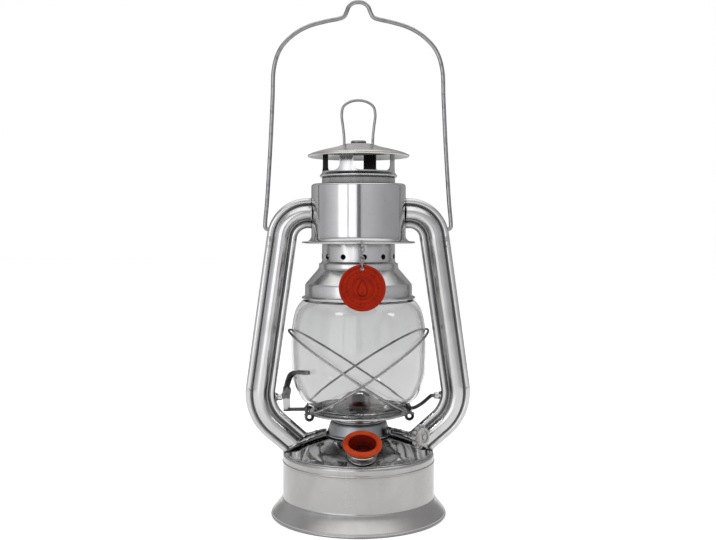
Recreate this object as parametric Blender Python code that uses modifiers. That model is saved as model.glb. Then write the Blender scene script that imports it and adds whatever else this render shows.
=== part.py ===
"""Small hurricane lantern, in metres, +Z up, standing on z = 0 with its axis on the Z axis.

The front, with the filler and the tag, faces -Y.  The side tubes lie in the XZ plane.
"""

import math

import bmesh
import bpy
import numpy as np
from mathutils import Matrix, Vector

# General sizes
SHEET = 0.0008
GAP = 0.0003
CUT_OVERRUN = 0.004
LARGE_STEPS = 28
MEDIUM_STEPS = 20
SMALL_STEPS = 14
ARC_STEPS = 3

# Tank
TANK_WALL_RADIUS = 0.0523
TANK_RIM_RADIUS = 0.0606
TANK_RIM_HEIGHT = 0.0016
TANK_RIM_WIDTH = 0.0024
TANK_RIM_ROUND = 0.0004
TANK_FLARE_TOP = 0.0133
TANK_BEAD_DROP = 0.0058
TANK_BEAD_HALF = 0.0008
TANK_BEAD_PROUD = 0.0004
TANK_SHOULDER = 0.0023
TANK_TOP_HEIGHT = 0.0432
TANK_FLOOR_HEIGHT = 0.0070
DOME_RISE = 0.0118
DOME_SKIRT = 0.0020
BURNER_HOLE_RADIUS = 0.0153
FLARE_SHARES = ((0.0, 1.0), (0.13, 0.88), (0.40, 0.64), (0.70, 0.34), (0.88, 0.14))
DOME_SHARES = ((0.44, 0.955), (0.60, 0.75), (0.76, 0.50), (0.90, 0.235), (1.0, 0.0))

# Filler, in its own tilted frame
FILLER_OUT = 0.0400
FILLER_TILT = math.radians(26)
NECK_RADIUS = 0.0085
NECK_DEPTH = 0.0030
NECK_STRAIGHT = 0.0026
NECK_LIP_RADIUS = 0.0112
NECK_LIP_HEIGHT = 0.0071
NECK_FOOT_RADIUS = 0.0096
NECK_FOOT_HEIGHT = 0.0002
GASKET_THICKNESS = 0.0007
GASKET_INNER_RADIUS = 0.0092
CAP_RING_RADIUS = 0.0110
CAP_RING_HALF = 0.0019
CAP_PLUG_DEPTH = 0.0080
CAP_HOLLOW_RADIUS = 0.0062

# Air chamber and burner
COLLAR_WALL = 0.0016
COLLAR_DEPTH = 0.0035
COLLAR_HEIGHT = 0.0075
CHAMBER_BASE_RADIUS = 0.0226
CHAMBER_LIP = 0.0008
CHAMBER_LOW_RADIUS = 0.0218
CHAMBER_HIGH_RADIUS = 0.0196
CHAMBER_HEIGHT = 0.0090
CHAMBER_SHOULDER_DROP = 0.0009
CHAMBER_HOLE_RADIUS = 0.0145
DECK_RADIUS = 0.0178
DECK_HOLE_RADIUS = 0.0088
CONE_SKIRT_RADIUS = 0.0195
CONE_SHOULDER_RISE = 0.0090
CONE_TOP_RISE = 0.0206
CONE_SLOT_WIDTH = 0.0036
CONE_SLOT_LENGTH = 0.0180
CONE_SHARES = ((0.20, 0.97), (0.36, 0.90), (0.54, 0.66), (0.78, 0.28), (1.0, 0.0))
WICK_TUBE_WIDTH = 0.0164
WICK_TUBE_THICKNESS = 0.0036
WICK_TUBE_WALL = 0.0006
WICK_TUBE_DEPTH = 0.0015
WICK_TUBE_RISE = 0.0120
WICK_WIDTH = 0.0140
WICK_THICKNESS = 0.0016
WICK_FLOOR_CLEARANCE = 0.0070
WICK_SHOW = 0.0030

# Wick knob and shaft
SHAFT_ANGLE = math.radians(-44.2)
SHAFT_OFFSET = 0.0044
SHAFT_DROP = 0.0048
SHAFT_RADIUS = 0.0011
SHAFT_INNER_END = -0.0080
KNOB_DISTANCE = 0.0516
KNOB_RADIUS = 0.0076
KNOB_THICKNESS = 0.0050
KNOB_FLANGE = 0.0018
KNOB_FACE_RADIUS = 0.0060
KNOB_LOBE_RADIUS = 0.0011
KNOB_LOBES = 12
SPUR_RADIUS = 0.0030
SPUR_THICKNESS = 0.0012
SPUR_SPACING = 0.0076
SPUR_TEETH = 10
SPUR_TOOTH_SHARE = 0.80
GLAND_RADIUS = 0.0030
GLAND_LENGTH = 0.0045
GLAND_DISTANCE = 0.0222

# Globe plate and globe
PLATE_HOLE_RADIUS = 0.0206
PLATE_RIM_RADIUS = 0.0345
PLATE_RIM_HEIGHT = 0.0014
PLATE_RISE = 0.0059
PLATE_SEAT_RISE = 0.0030
PLATE_LEDGE_INNER = 0.0262
PLATE_LEDGE_OUTER = 0.0298
PLATE_RIDGE_RADIUS = 0.0250
PLATE_RIDGE_RISE = 0.0047
GLASS_WALL = 0.0015
GLASS_MAX_RADIUS = 0.0468
GLASS_HEIGHT = 0.0788
GLASS_SHARES = (
    (0.747, 1.00), (0.756, 0.967), (0.835, 0.946), (0.934, 0.868), (0.982, 0.740), (1.000, 0.580),
    (1.000, 0.430), (0.990, 0.300), (0.940, 0.190), (0.855, 0.100), (0.735, 0.045), (0.607, 0.000))
EAR_HALF_WIDTH = 0.0117
EAR_THICKNESS = 0.0010
EAR_HEIGHT = 0.0053
GUARD_WIRE_RADIUS = 0.0008
GUARD_PLAN_RADIUS = 0.0480
GUARD_STEP = 0.0021
GUARD_CENTRE_RISE = 0.0255
GUARD_SLOPE_SHARE = 0.66
GUARD_END_HALF = 0.0125
GUARD_TURN_IN = math.radians(100)
GUARD_POINTS = 26

# Lift lever
ROD_RADIUS = 0.0013
ROD_BACK = 0.0220
ROD_DROP = 0.0127
ROD_BEND_START = 0.0390
ROD_BEND_END = 0.0480
EYE_CLEARANCE = 0.00108
PIVOT_CLEARANCE = 0.0004
LEVER_PLATE_X = 0.0500
LEVER_PLATE_THICKNESS = 0.0012
LEVER_PLATE_HALF_WIDTH = 0.0030
HANDLE_RADIUS = 0.0018
HANDLE_FOOT_X = 0.0500
HANDLE_TIP_X = 0.0345
HANDLE_TIP_FRONT = 0.0360
HANDLE_TIP_HEIGHT = 0.0985
HANDLE_SHARES = (
    (0.0, 0.0, 0.0), (0.02, 0.10, 0.28), (0.10, 0.28, 0.60), (0.32, 0.52, 0.85), (0.65, 0.76, 0.95),
    (1.0, 1.0, 1.0))
EYE_OUTER_RADIUS = 0.0031
EYE_LENGTH = 0.0034

# Side tubes
TUBE_HALF_WIDTH = 0.0103
TUBE_LOBE_HALF_WIDTH = 0.0057
TUBE_LOBE_DEPTH = 0.0075
TUBE_BEAD_HALF_WIDTH = 0.0023
TUBE_BEAD_DEPTH = 0.0027
TUBE_GROOVE_DEPTH = 0.0016
TUBE_ENTRY_DROP = 0.0200
TUBE_ELBOW_RADIUS = 0.0180
TUBE_STRAIGHT_OUT = 0.02105
TUBE_STRAIGHT_DROP = 0.0225
TUBE_LEAN = math.radians(8.13)
TUBE_BEND_X = 0.0385
TUBE_BEND_RISE = 0.0136
TUBE_BEND_TURN = math.radians(52)
TUBE_END_INSET = 0.0083
TUBE_END_RISE = 0.0064
TUBE_END_CUT = math.radians(-38)
ELBOW_STATIONS = 6
BEND_STATIONS = 7
TUBE_BORE_WIDTH = 0.0048
TUBE_BORE_DEPTH = 0.0066
FOOT_LIFT = 0.0008
FOOT_OUTER_X = 0.0410
FOOT_OUTER_TOP_X = 0.0290
FOOT_OUTER_RISE = 0.0078
FOOT_INNER_X = 0.0280
FOOT_INNER_TOP_X = 0.0250
FOOT_END_X = 0.0233
FOOT_END_TOP_X = 0.0220
FOOT_TOP_DROP = 0.0054
FOOT_NARROW_SHARE = 0.85

# Hood
HOOD_WALL_RADIUS = 0.0324
HOOD_FLANGE_RADIUS = 0.0389
HOOD_FLANGE_RISE = 0.0145
HOOD_FLANGE_ROLL = 0.0014
HOOD_FILLET = 0.0040
HOOD_HEIGHT = 0.0400
HOOD_TOP_ROUND = 0.0020
HOOD_HOLE_GAP = 0.0006
HOOD_PORT_HALF_WIDTH = 0.0050
HOOD_PORT_HALF_HEIGHT = 0.0045

# Chimney group
CHIMNEY_RADIUS = 0.0251
VENT_HOLES = 11
VENT_HOLE_RADIUS = 0.0013
VENT_HOLE_RISE = 0.0050
VENT_HOLE_FIRST = math.radians(-84.5)
GLOBE_CAP_RIM_RADIUS = 0.0391
GLOBE_CAP_OVERLAP = 0.0027
GLOBE_CAP_RIM_HEIGHT = 0.0012
GLOBE_CAP_RADIUS = 0.0368
GLOBE_CAP_WALL_HEIGHT = 0.0095
GLOBE_CAP_CONE_RADIUS = 0.0272
GLOBE_CAP_CONE_HEIGHT = 0.0112
GLOBE_CAP_NECK_HEIGHT = 0.0030
SPRING_RING_RISE = 0.0085
SPRING_RING_RADIUS = 0.0295
SPRING_RING_THICKNESS = 0.0010
SPRING_RADIUS = 0.0280
SPRING_WIRE_RADIUS = 0.0006
SPRING_TURNS = 4
SPRING_POINTS = 10
CHIMNEY_SHOW = 0.0037
CHIMNEY_FLARE = 0.0010
CROWN_BEAD_RADIUS = 0.0266
CROWN_BEAD_RISE = 0.0015
CROWN_BEAD_HALF = 0.0006
CROWN_GAP = 0.0040
CROWN_WALL_RADIUS = 0.0249
CROWN_SILL_RISE = 0.0045
CROWN_POST_ANGLE = math.radians(22)
CROWN_FIRST_POST = math.radians(-112.5)
CAP_RADIUS = 0.0348
CROWN_HEIGHT = 0.0150
CAP_RISE = 0.0085
CAP_SHARES = (
    (0.0, 1.0), (0.28, 0.99), (0.45, 0.74), (0.70, 0.50), (0.90, 0.26), (0.99, 0.08), (1.0, 0.0))
CAP_COLLAR_RADIUS = 0.0053
CAP_COLLAR_HEIGHT = 0.0021
RING_WIRE_RADIUS = 0.0009
RING_HALF_WIDTH = 0.0115
RING_FOOT_DEPTH = 0.0026
RING_HEIGHT = 0.0322
RING_SHARES = (
    (0.852, 0.0), (0.86, 0.22), (0.93, 0.46), (1.0, 0.68), (0.90, 0.86), (0.52, 0.965), (0.0, 1.0))

# Bail
BAIL_WIRE_RADIUS = 0.0014
BAIL_PIVOT_DROP = 0.0110
BAIL_RISE = 0.1546
BAIL_LEG_X = 0.0640
BAIL_BEND_RADIUS = 0.0022
BAIL_END_X = 0.0590
BAIL_HOLE_DEPTH = 0.0042
BAIL_SHARES = (
    (0.0, 1.0), (0.056, 0.9955), (0.103, 0.9799), (0.125, 0.9586), (0.156, 0.9360), (0.219, 0.9256),
    (0.359, 0.9133), (0.5375, 0.8913), (0.700, 0.8519), (0.834, 0.7904), (0.9016, 0.7031),
    (0.9156, 0.5712), (0.9422, 0.3512), (0.9766, 0.1300), (0.9953, 0.0485))

# Tag and its chain
TAG_RADIUS = 0.0152
TAG_THICKNESS = 0.0020
TAG_RIM = 0.0016
TAG_RELIEF = 0.0004
TAG_HOLE_RADIUS = 0.0013
TAG_HOLE_INSET = 0.0026
TAG_TILT = math.radians(11.5)
CHAIN_HOLE_RADIUS = 0.0014
CHAIN_HOLE_OUT = 0.0362
HOOK_HALF_WIDTH = 0.0019
LINK_WIRE_RADIUS = 0.00045
LINK_HALF_WIDTH = 0.00135
LINK_HALF_LENGTH = 0.00228
LINK_POINTS = 12
LINKS = 5

# Finishes: colour, roughness, metallic
TIN = ((0.62, 0.62, 0.61), 0.22, 1.0)
DARK_TIN = ((0.40, 0.41, 0.43), 0.40, 1.0)
WIRE_STEEL = ((0.55, 0.55, 0.55), 0.30, 1.0)
BRASS = ((0.60, 0.45, 0.22), 0.35, 1.0)
RED = ((0.48, 0.022, 0.006), 0.45, 0.0)
GLASS = ((0.90, 0.93, 0.93), 0.05, 0.0)
CLEAR = ((0.80, 0.79, 0.76), 0.20, 0.0)
COTTON = ((0.80, 0.78, 0.70), 0.90, 0.0)
RUBBER = ((0.03, 0.03, 0.03), 0.80, 0.0)

# Heights that follow from the sizes above, from the ground up
TANK_BEAD_HEIGHT = TANK_TOP_HEIGHT - TANK_BEAD_DROP
DOME_TOP = TANK_TOP_HEIGHT + DOME_RISE
COLLAR_LOW = DOME_TOP - COLLAR_DEPTH
COLLAR_TOP = COLLAR_LOW + COLLAR_HEIGHT
CHAMBER_TOP = DOME_TOP + CHAMBER_HEIGHT
CHAMBER_SHOULDER = CHAMBER_TOP - CHAMBER_SHOULDER_DROP
SHAFT_HEIGHT = CHAMBER_TOP - SHAFT_DROP
CONE_SHOULDER_HEIGHT = CHAMBER_TOP + CONE_SHOULDER_RISE
CONE_TOP_HEIGHT = CHAMBER_TOP + CONE_TOP_RISE
WICK_TUBE_LOW = COLLAR_LOW - WICK_TUBE_DEPTH
WICK_TUBE_TOP = CHAMBER_TOP + WICK_TUBE_RISE
WICK_LOW = TANK_FLOOR_HEIGHT + WICK_FLOOR_CLEARANCE
WICK_TOP = WICK_TUBE_TOP + WICK_SHOW
PLATE_LOW = CHAMBER_TOP + PLATE_RISE
PLATE_SEAT_HEIGHT = PLATE_LOW + PLATE_SEAT_RISE
PLATE_RIDGE_HEIGHT = PLATE_LOW + PLATE_RIDGE_RISE
EAR_LOW = PLATE_LOW + GAP
EAR_TOP = EAR_LOW + EAR_HEIGHT
GUARD_CENTRE_HEIGHT = PLATE_LOW + GUARD_CENTRE_RISE
LEVER_PIVOT_HEIGHT = PLATE_LOW - GAP - ROD_RADIUS + ROD_DROP
GLASS_TOP = PLATE_SEAT_HEIGHT + GAP + GLASS_HEIGHT
GLOBE_CAP_RIM_LOW = GLASS_TOP - GLOBE_CAP_OVERLAP
GLOBE_CAP_SHOULDER = GLOBE_CAP_RIM_LOW + GLOBE_CAP_WALL_HEIGHT
GLOBE_CAP_CONE_TOP = GLOBE_CAP_SHOULDER + GLOBE_CAP_CONE_HEIGHT
GLOBE_CAP_TOP = GLOBE_CAP_CONE_TOP + GLOBE_CAP_NECK_HEIGHT
VENT_HOLE_HEIGHT = GLOBE_CAP_TOP + VENT_HOLE_RISE
HOOD_FLANGE_HEIGHT = GLOBE_CAP_TOP + HOOD_FLANGE_RISE
HOOD_TOP = HOOD_FLANGE_HEIGHT + HOOD_HEIGHT
SPRING_RING_HEIGHT = HOOD_FLANGE_HEIGHT + SPRING_RING_RISE
CHIMNEY_TOP = HOOD_TOP + CHIMNEY_SHOW
CROWN_LOW = HOOD_TOP + CROWN_GAP
CROWN_BEAD_HEIGHT = CROWN_LOW + CROWN_BEAD_RISE
CROWN_SILL = CROWN_LOW + CROWN_SILL_RISE
CAP_EDGE_HEIGHT = CROWN_LOW + CROWN_HEIGHT
CAP_TOP = CAP_EDGE_HEIGHT + CAP_RISE
CAP_COLLAR_TOP = CAP_TOP + CAP_COLLAR_HEIGHT
RING_FOOT_HEIGHT = CAP_TOP - RING_FOOT_DEPTH
TUBE_ENTRY_HEIGHT = HOOD_TOP - TUBE_ENTRY_DROP
TUBE_STRAIGHT_X = HOOD_WALL_RADIUS + TUBE_STRAIGHT_OUT
TUBE_STRAIGHT_Z = TUBE_ENTRY_HEIGHT - TUBE_STRAIGHT_DROP
TUBE_BEND_Z = PLATE_LOW + TUBE_BEND_RISE
TUBE_END_X = TANK_WALL_RADIUS - TUBE_END_INSET
TUBE_END_Z = TANK_TOP_HEIGHT + TUBE_END_RISE
FOOT_OUTER_TOP = TUBE_END_Z + FOOT_OUTER_RISE
FOOT_TOP = CHAMBER_TOP - FOOT_TOP_DROP
BAIL_PIVOT_HEIGHT = TUBE_ENTRY_HEIGHT - BAIL_PIVOT_DROP

# Working values
MERGE = 0.00001
MITRE_LIMIT = 2.0
QUARTER = math.pi / 2
FULL_TURN = 2 * math.pi


def clear_scene():
    """Remove every object that the scene starts with."""
    for item in list(bpy.data.objects):
        bpy.data.objects.remove(item)


def new_collection(name):
    """Return a new collection, linked to the scene."""
    collection = bpy.data.collections.new(name)
    bpy.context.scene.collection.children.link(collection)
    return collection


clear_scene()
PARTS = new_collection("hurricane_lantern")
CUTTERS = new_collection("cutters")


def finish_material(name, finish):
    """Return a Principled material with a colour, a roughness and a metallic value."""
    colour, roughness, metallic = finish
    material = bpy.data.materials.new(name)
    material.use_nodes = True
    shader = material.node_tree.nodes["Principled BSDF"]
    shader.inputs["Base Color"].default_value = (*colour, 1)
    shader.inputs["Roughness"].default_value = roughness
    shader.inputs["Metallic"].default_value = metallic
    return material


def add_piece(name, data, finish):
    """Link one named sub-part with its own material."""
    piece = bpy.data.objects.new(name, data)
    PARTS.objects.link(piece)
    data.materials.append(finish_material(name, finish))
    return piece


def add_cutter(name, mesh):
    """Link a guide that only cuts, and is never part of the model."""
    cutter = bpy.data.objects.new(name, mesh)
    CUTTERS.objects.link(cutter)
    cutter.hide_render = True
    cutter.display_type = "WIRE"
    return cutter


def cut(piece, cutter):
    """Take a cutter's shape out of a piece."""
    boolean = piece.modifiers.new("Cut", "BOOLEAN")
    boolean.object = cutter
    boolean.operation = "DIFFERENCE"
    boolean.solver = "EXACT"


def arc(centre, radius, start, end, steps=ARC_STEPS):
    """Return points on an arc, from one angle to another, in the (radius, height) plane."""
    angles = np.linspace(start, end, steps + 1)
    return [(centre[0] + radius * math.cos(a), centre[1] + radius * math.sin(a)) for a in angles]


def offset_line(line, distance):
    """Return an outline moved to its inner side, the right hand of a run down the outer side."""
    normals = []
    for (r0, z0), (r1, z1) in zip(line, line[1:]):
        length = math.hypot(r1 - r0, z1 - z0)
        normals.append(((z1 - z0) / length, (r0 - r1) / length))
    ends = [normals[0]] + normals, normals + [normals[-1]]
    moved = []
    for (radius, height), before, after in zip(line, *ends):
        across = (before[0] + after[0], before[1] + after[1])
        size = math.hypot(*across)
        reach = min(2 / size, MITRE_LIMIT)
        inner = radius + distance * reach * across[0] / size
        moved.append((max(inner, 0), height + distance * reach * across[1] / size))
    return moved


def shell(line, wall=SHEET):
    """Return the closed outline of a sheet that follows a line."""
    return line + offset_line(line, wall)[::-1]


def value_at(line, place, along=0):
    """Return the height at a radius of a line, or the radius at a height with along=1."""
    across = 1 - along
    for first, second in zip(line, line[1:]):
        low, high = sorted((first[along], second[along]))
        if low <= place <= high and high > low:
            share = (place - first[along]) / (second[along] - first[along])
            return first[across] + share * (second[across] - first[across])
    raise ValueError("the line does not reach this place")


def turned(name, outline, finish, steps=LARGE_STEPS, place=None, closed=True):
    """Turn an outline about its own Z axis."""
    mesh = bpy.data.meshes.new(name)
    count = len(outline)
    edges = [(i, i + 1) for i in range(count - 1)]
    if closed:
        edges.append((count - 1, 0))
    mesh.from_pydata([(radius, 0, height) for radius, height in outline], edges, [])
    piece = add_piece(name, mesh, finish)
    screw = piece.modifiers.new("Turn", "SCREW")
    screw.steps = steps
    screw.render_steps = steps
    screw.use_merge_vertices = True
    screw.merge_threshold = MERGE
    screw.use_smooth_shade = True
    if place is not None:
        piece.matrix_world = place
    return piece


def facing(start, direction):
    """Return the placing that stands Z along a direction at a point."""
    turn = Vector(direction).to_track_quat("Z", "Y").to_matrix().to_4x4()
    return Matrix.Translation(Vector(start)) @ turn


def rod_mesh(name, rods, segments=SMALL_STEPS):
    """Return a mesh of capped rods, each given by its radius, length and placing of its middle."""
    shape = bmesh.new()
    for radius, length, place in rods:
        bmesh.ops.create_cone(
            shape, cap_ends=True, segments=segments, radius1=radius, radius2=radius,
            depth=length, matrix=place)
    mesh = bpy.data.meshes.new(name)
    shape.to_mesh(mesh)
    shape.free()
    return mesh


def box_mesh(name, boxes):
    """Return a mesh of boxes, each given by its size and placing."""
    shape = bmesh.new()
    for size, place in boxes:
        bmesh.ops.create_cube(shape, size=1, matrix=place @ Matrix.Diagonal((*size, 1)))
    mesh = bpy.data.meshes.new(name)
    shape.to_mesh(mesh)
    shape.free()
    return mesh


def wire(name, points, radius, finish, closed=False, resolution=2):
    """Bend a round wire along points."""
    curve = bpy.data.curves.new(name, "CURVE")
    curve.dimensions = "3D"
    curve.bevel_depth = radius
    curve.bevel_resolution = resolution
    curve.use_fill_caps = True
    spline = curve.splines.new("POLY")
    spline.points.add(len(points) - 1)
    for knot, place in zip(spline.points, points):
        knot.co = (*place, 1)
    spline.use_cyclic_u = closed
    return add_piece(name, curve, finish)


def smooth_path(points, steps=3):
    """Return a smooth path through points, by Catmull-Rom."""
    knots = [Vector(p) for p in points]
    knots = [2 * knots[0] - knots[1], *knots, 2 * knots[-1] - knots[-2]]
    path = []
    for a, b, c, d in zip(knots, knots[1:], knots[2:], knots[3:]):
        for step in range(steps):
            t = step / steps
            path.append(0.5 * (2 * b + (c - a) * t + (2 * a - 5 * b + 4 * c - d) * t * t
                               + (3 * b - a - 3 * c + d) * t * t * t))
    path.append(knots[-2])
    return path


def plate(name, outline, thickness, finish, place):
    """Cut a flat plate to an outline, with its mid plane on the placing's XY plane."""
    curve = bpy.data.curves.new(name, "CURVE")
    curve.dimensions = "2D"
    curve.fill_mode = "BOTH"
    curve.extrude = thickness / 2
    spline = curve.splines.new("POLY")
    spline.points.add(len(outline) - 1)
    for knot, (across, up) in zip(spline.points, outline):
        knot.co = (across, up, 0, 1)
    spline.use_cyclic_u = True
    piece = add_piece(name, curve, finish)
    piece.matrix_world = place
    return piece


def loft(name, outer, inner, finish):
    """Join rings of points into a hollow piece, open at both ends.

    The inner rings have half as many points as the outer ones.
    """
    shape = bmesh.new()
    walls = []
    for rings in (outer, inner):
        verts = [[shape.verts.new(p) for p in ring] for ring in rings]
        count = len(verts[0])
        for low, high in zip(verts, verts[1:]):
            for i in range(count):
                j = (i + 1) % count
                shape.faces.new((low[i], low[j], high[j], high[i]))
        walls.append(verts)
    for end in (0, -1):
        wide = walls[0][end]
        bore = walls[1][end]
        for i in range(len(bore)):
            j = (i + 1) % len(bore)
            middle = wide[2 * i + 1]
            last = wide[(2 * i + 2) % len(wide)]
            shape.faces.new((wide[2 * i], middle, bore[i]))
            shape.faces.new((middle, last, bore[j]))
            shape.faces.new((middle, bore[j], bore[i]))
    bmesh.ops.recalc_face_normals(shape, faces=shape.faces)
    mesh = bpy.data.meshes.new(name)
    shape.to_mesh(mesh)
    shape.free()
    mesh.shade_smooth()
    return add_piece(name, mesh, finish)


def loft_solid(name, rings, finish, place):
    """Join rings of points into a solid piece with flat ends."""
    shape = bmesh.new()
    verts = [[shape.verts.new(p) for p in ring] for ring in rings]
    count = len(verts[0])
    for low, high in zip(verts, verts[1:]):
        for i in range(count):
            j = (i + 1) % count
            shape.faces.new((low[i], low[j], high[j], high[i]))
    shape.faces.new(verts[0])
    shape.faces.new(verts[-1])
    bmesh.ops.recalc_face_normals(shape, faces=shape.faces)
    mesh = bpy.data.meshes.new(name)
    shape.to_mesh(mesh)
    shape.free()
    piece = add_piece(name, mesh, finish)
    piece.matrix_world = place
    return piece


def scaled_line(shares, radius, low, rise):
    """Return an outline from shares of a radius and of a rise."""
    return [(radius * across, low + rise * up) for across, up in shares]


# Outlines that more than one piece follows
TANK_LINE = (
    arc((TANK_WALL_RADIUS - TANK_SHOULDER, TANK_TOP_HEIGHT - TANK_SHOULDER), TANK_SHOULDER, QUARTER, 0)
    + [(TANK_WALL_RADIUS, TANK_BEAD_HEIGHT + TANK_BEAD_HALF),
       (TANK_WALL_RADIUS + TANK_BEAD_PROUD, TANK_BEAD_HEIGHT),
       (TANK_WALL_RADIUS, TANK_BEAD_HEIGHT - TANK_BEAD_HALF)]
    + [(TANK_WALL_RADIUS + across * (TANK_RIM_RADIUS - TANK_WALL_RADIUS),
        TANK_RIM_HEIGHT + up * (TANK_FLARE_TOP - TANK_RIM_HEIGHT)) for across, up in FLARE_SHARES])
TANK_INNER_LINE = offset_line(TANK_LINE, SHEET)
DOME_EDGE_RADIUS = TANK_WALL_RADIUS - TANK_SHOULDER - GAP
DOME_LINE = (
    [(BURNER_HOLE_RADIUS, DOME_TOP)]
    + scaled_line(DOME_SHARES, DOME_EDGE_RADIUS, TANK_TOP_HEIGHT, DOME_RISE))
CAP_LINE = scaled_line(CAP_SHARES, CAP_RADIUS, CAP_EDGE_HEIGHT, CAP_RISE)
CAP_UNDER_LINE = offset_line(CAP_LINE, SHEET)


def dome_height(radius):
    """Return the height of the tank's dome at a radius."""
    return value_at(DOME_LINE, radius)


FILLER_BASE = Vector((0, -FILLER_OUT, dome_height(FILLER_OUT)))
FILLER_PLACE = Matrix.Translation(FILLER_BASE) @ Matrix.Rotation(FILLER_TILT, 4, "X")
SHAFT_DIRECTION = Vector((math.cos(SHAFT_ANGLE), math.sin(SHAFT_ANGLE), 0))
SHAFT_SIDE = Vector((-math.sin(SHAFT_ANGLE), math.cos(SHAFT_ANGLE), 0))
SHAFT_START = SHAFT_SIDE * SHAFT_OFFSET + Vector((0, 0, SHAFT_HEIGHT))
WICK_PLACE = Matrix.Rotation(SHAFT_ANGLE, 4, "Z")
SHAFT_CLEARANCE = SHAFT_RADIUS + GAP
TAG_HANG_HEIGHT = HOOD_FLANGE_HEIGHT + HOOD_FLANGE_ROLL / 2 + GAP + LINK_WIRE_RADIUS
LINK_PITCH = 2 * LINK_HALF_LENGTH - 2 * LINK_WIRE_RADIUS - GAP
HOOK_TOP = Vector((0, -CHAIN_HOLE_OUT - HOOK_HALF_WIDTH, TAG_HANG_HEIGHT))
TAG_TOP = HOOK_TOP - Vector((0, 0, LINK_PITCH))
TAG_PLACE = Matrix.Translation(TAG_TOP) @ Matrix.Rotation(-TAG_TILT, 4, "X")


def shaft_place(distance):
    """Return the placing at a distance along the wick shaft, with Z along it."""
    return facing(SHAFT_START + SHAFT_DIRECTION * distance, SHAFT_DIRECTION)


def make_tank():
    """Build the tank wall with its foot, the domed top and the floor."""
    rim_inner = TANK_RIM_RADIUS - TANK_RIM_WIDTH
    outline = (
        TANK_LINE
        + [(TANK_RIM_RADIUS, TANK_RIM_HEIGHT), (TANK_RIM_RADIUS, TANK_RIM_ROUND),
           (TANK_RIM_RADIUS - TANK_RIM_ROUND, 0), (rim_inner, 0), (rim_inner, TANK_RIM_HEIGHT)]
        + TANK_INNER_LINE[-2::-1])
    turned("tank_body", outline, TIN)
    skirt = (DOME_EDGE_RADIUS, TANK_TOP_HEIGHT - DOME_SKIRT)
    dome = turned("tank_top", shell(DOME_LINE + [skirt]), TIN)
    bore = rod_mesh("filler_hole", [(NECK_RADIUS + GAP, NECK_RADIUS * 4, FILLER_PLACE)], MEDIUM_STEPS)
    cut(dome, add_cutter("filler_hole", bore))
    top = TANK_FLOOR_HEIGHT + SHEET
    radius = value_at(TANK_INNER_LINE, top, along=1) - GAP
    floor = [(0, top), (radius, top), (radius, TANK_FLOOR_HEIGHT), (0, TANK_FLOOR_HEIGHT)]
    turned("tank_bottom", floor, DARK_TIN, closed=False)


def make_filler():
    """Build the neck, the gasket and the screw cap, in the filler's own tilted frame."""
    slope = NECK_LIP_RADIUS - NECK_RADIUS
    line = [
        (NECK_LIP_RADIUS, NECK_LIP_HEIGHT), (NECK_LIP_RADIUS, NECK_LIP_HEIGHT - SHEET),
        (NECK_LIP_RADIUS - slope / 3, NECK_LIP_HEIGHT - slope / 3 - SHEET),
        (NECK_RADIUS, NECK_STRAIGHT), (NECK_RADIUS, NECK_FOOT_HEIGHT + SHEET),
        (NECK_FOOT_RADIUS, NECK_FOOT_HEIGHT + SHEET), (NECK_FOOT_RADIUS, NECK_FOOT_HEIGHT),
        (NECK_RADIUS, NECK_FOOT_HEIGHT), (NECK_RADIUS, -NECK_DEPTH)]
    inner = [
        (NECK_RADIUS - SHEET, -NECK_DEPTH), (NECK_RADIUS - SHEET, NECK_STRAIGHT),
        (NECK_LIP_RADIUS - slope / 2 - SHEET, NECK_LIP_HEIGHT - slope / 2 - SHEET),
        (NECK_LIP_RADIUS - slope / 3 - SHEET, NECK_LIP_HEIGHT)]
    turned("filler_neck", line + inner, TIN, MEDIUM_STEPS, FILLER_PLACE)
    gasket_low = NECK_LIP_HEIGHT + GAP
    gasket_top = gasket_low + GASKET_THICKNESS
    outer = NECK_LIP_RADIUS - GAP
    gasket = [(GASKET_INNER_RADIUS, gasket_top), (outer, gasket_top), (outer, gasket_low),
              (GASKET_INNER_RADIUS, gasket_low)]
    turned("cap_gasket", gasket, RUBBER, SMALL_STEPS, FILLER_PLACE)
    centre = gasket_top + GAP + CAP_RING_HALF
    plug = NECK_RADIUS - SHEET - GAP
    low = centre - CAP_RING_HALF - CAP_PLUG_DEPTH
    crown = arc((CAP_RING_RADIUS, centre), CAP_RING_HALF, math.pi, -QUARTER, 2 * ARC_STEPS)
    cap = (
        [(0, low + SHEET), (CAP_HOLLOW_RADIUS, low + SHEET),
         (CAP_HOLLOW_RADIUS + SHEET / 2, NECK_STRAIGHT)]
        + crown
        + [(CAP_RING_RADIUS - CAP_RING_HALF, gasket_top + GAP),
           (GASKET_INNER_RADIUS - SHEET, gasket_low), (plug, NECK_STRAIGHT), (plug, low), (0, low)])
    turned("fuel_cap", cap, RED, MEDIUM_STEPS, FILLER_PLACE, closed=False)


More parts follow.
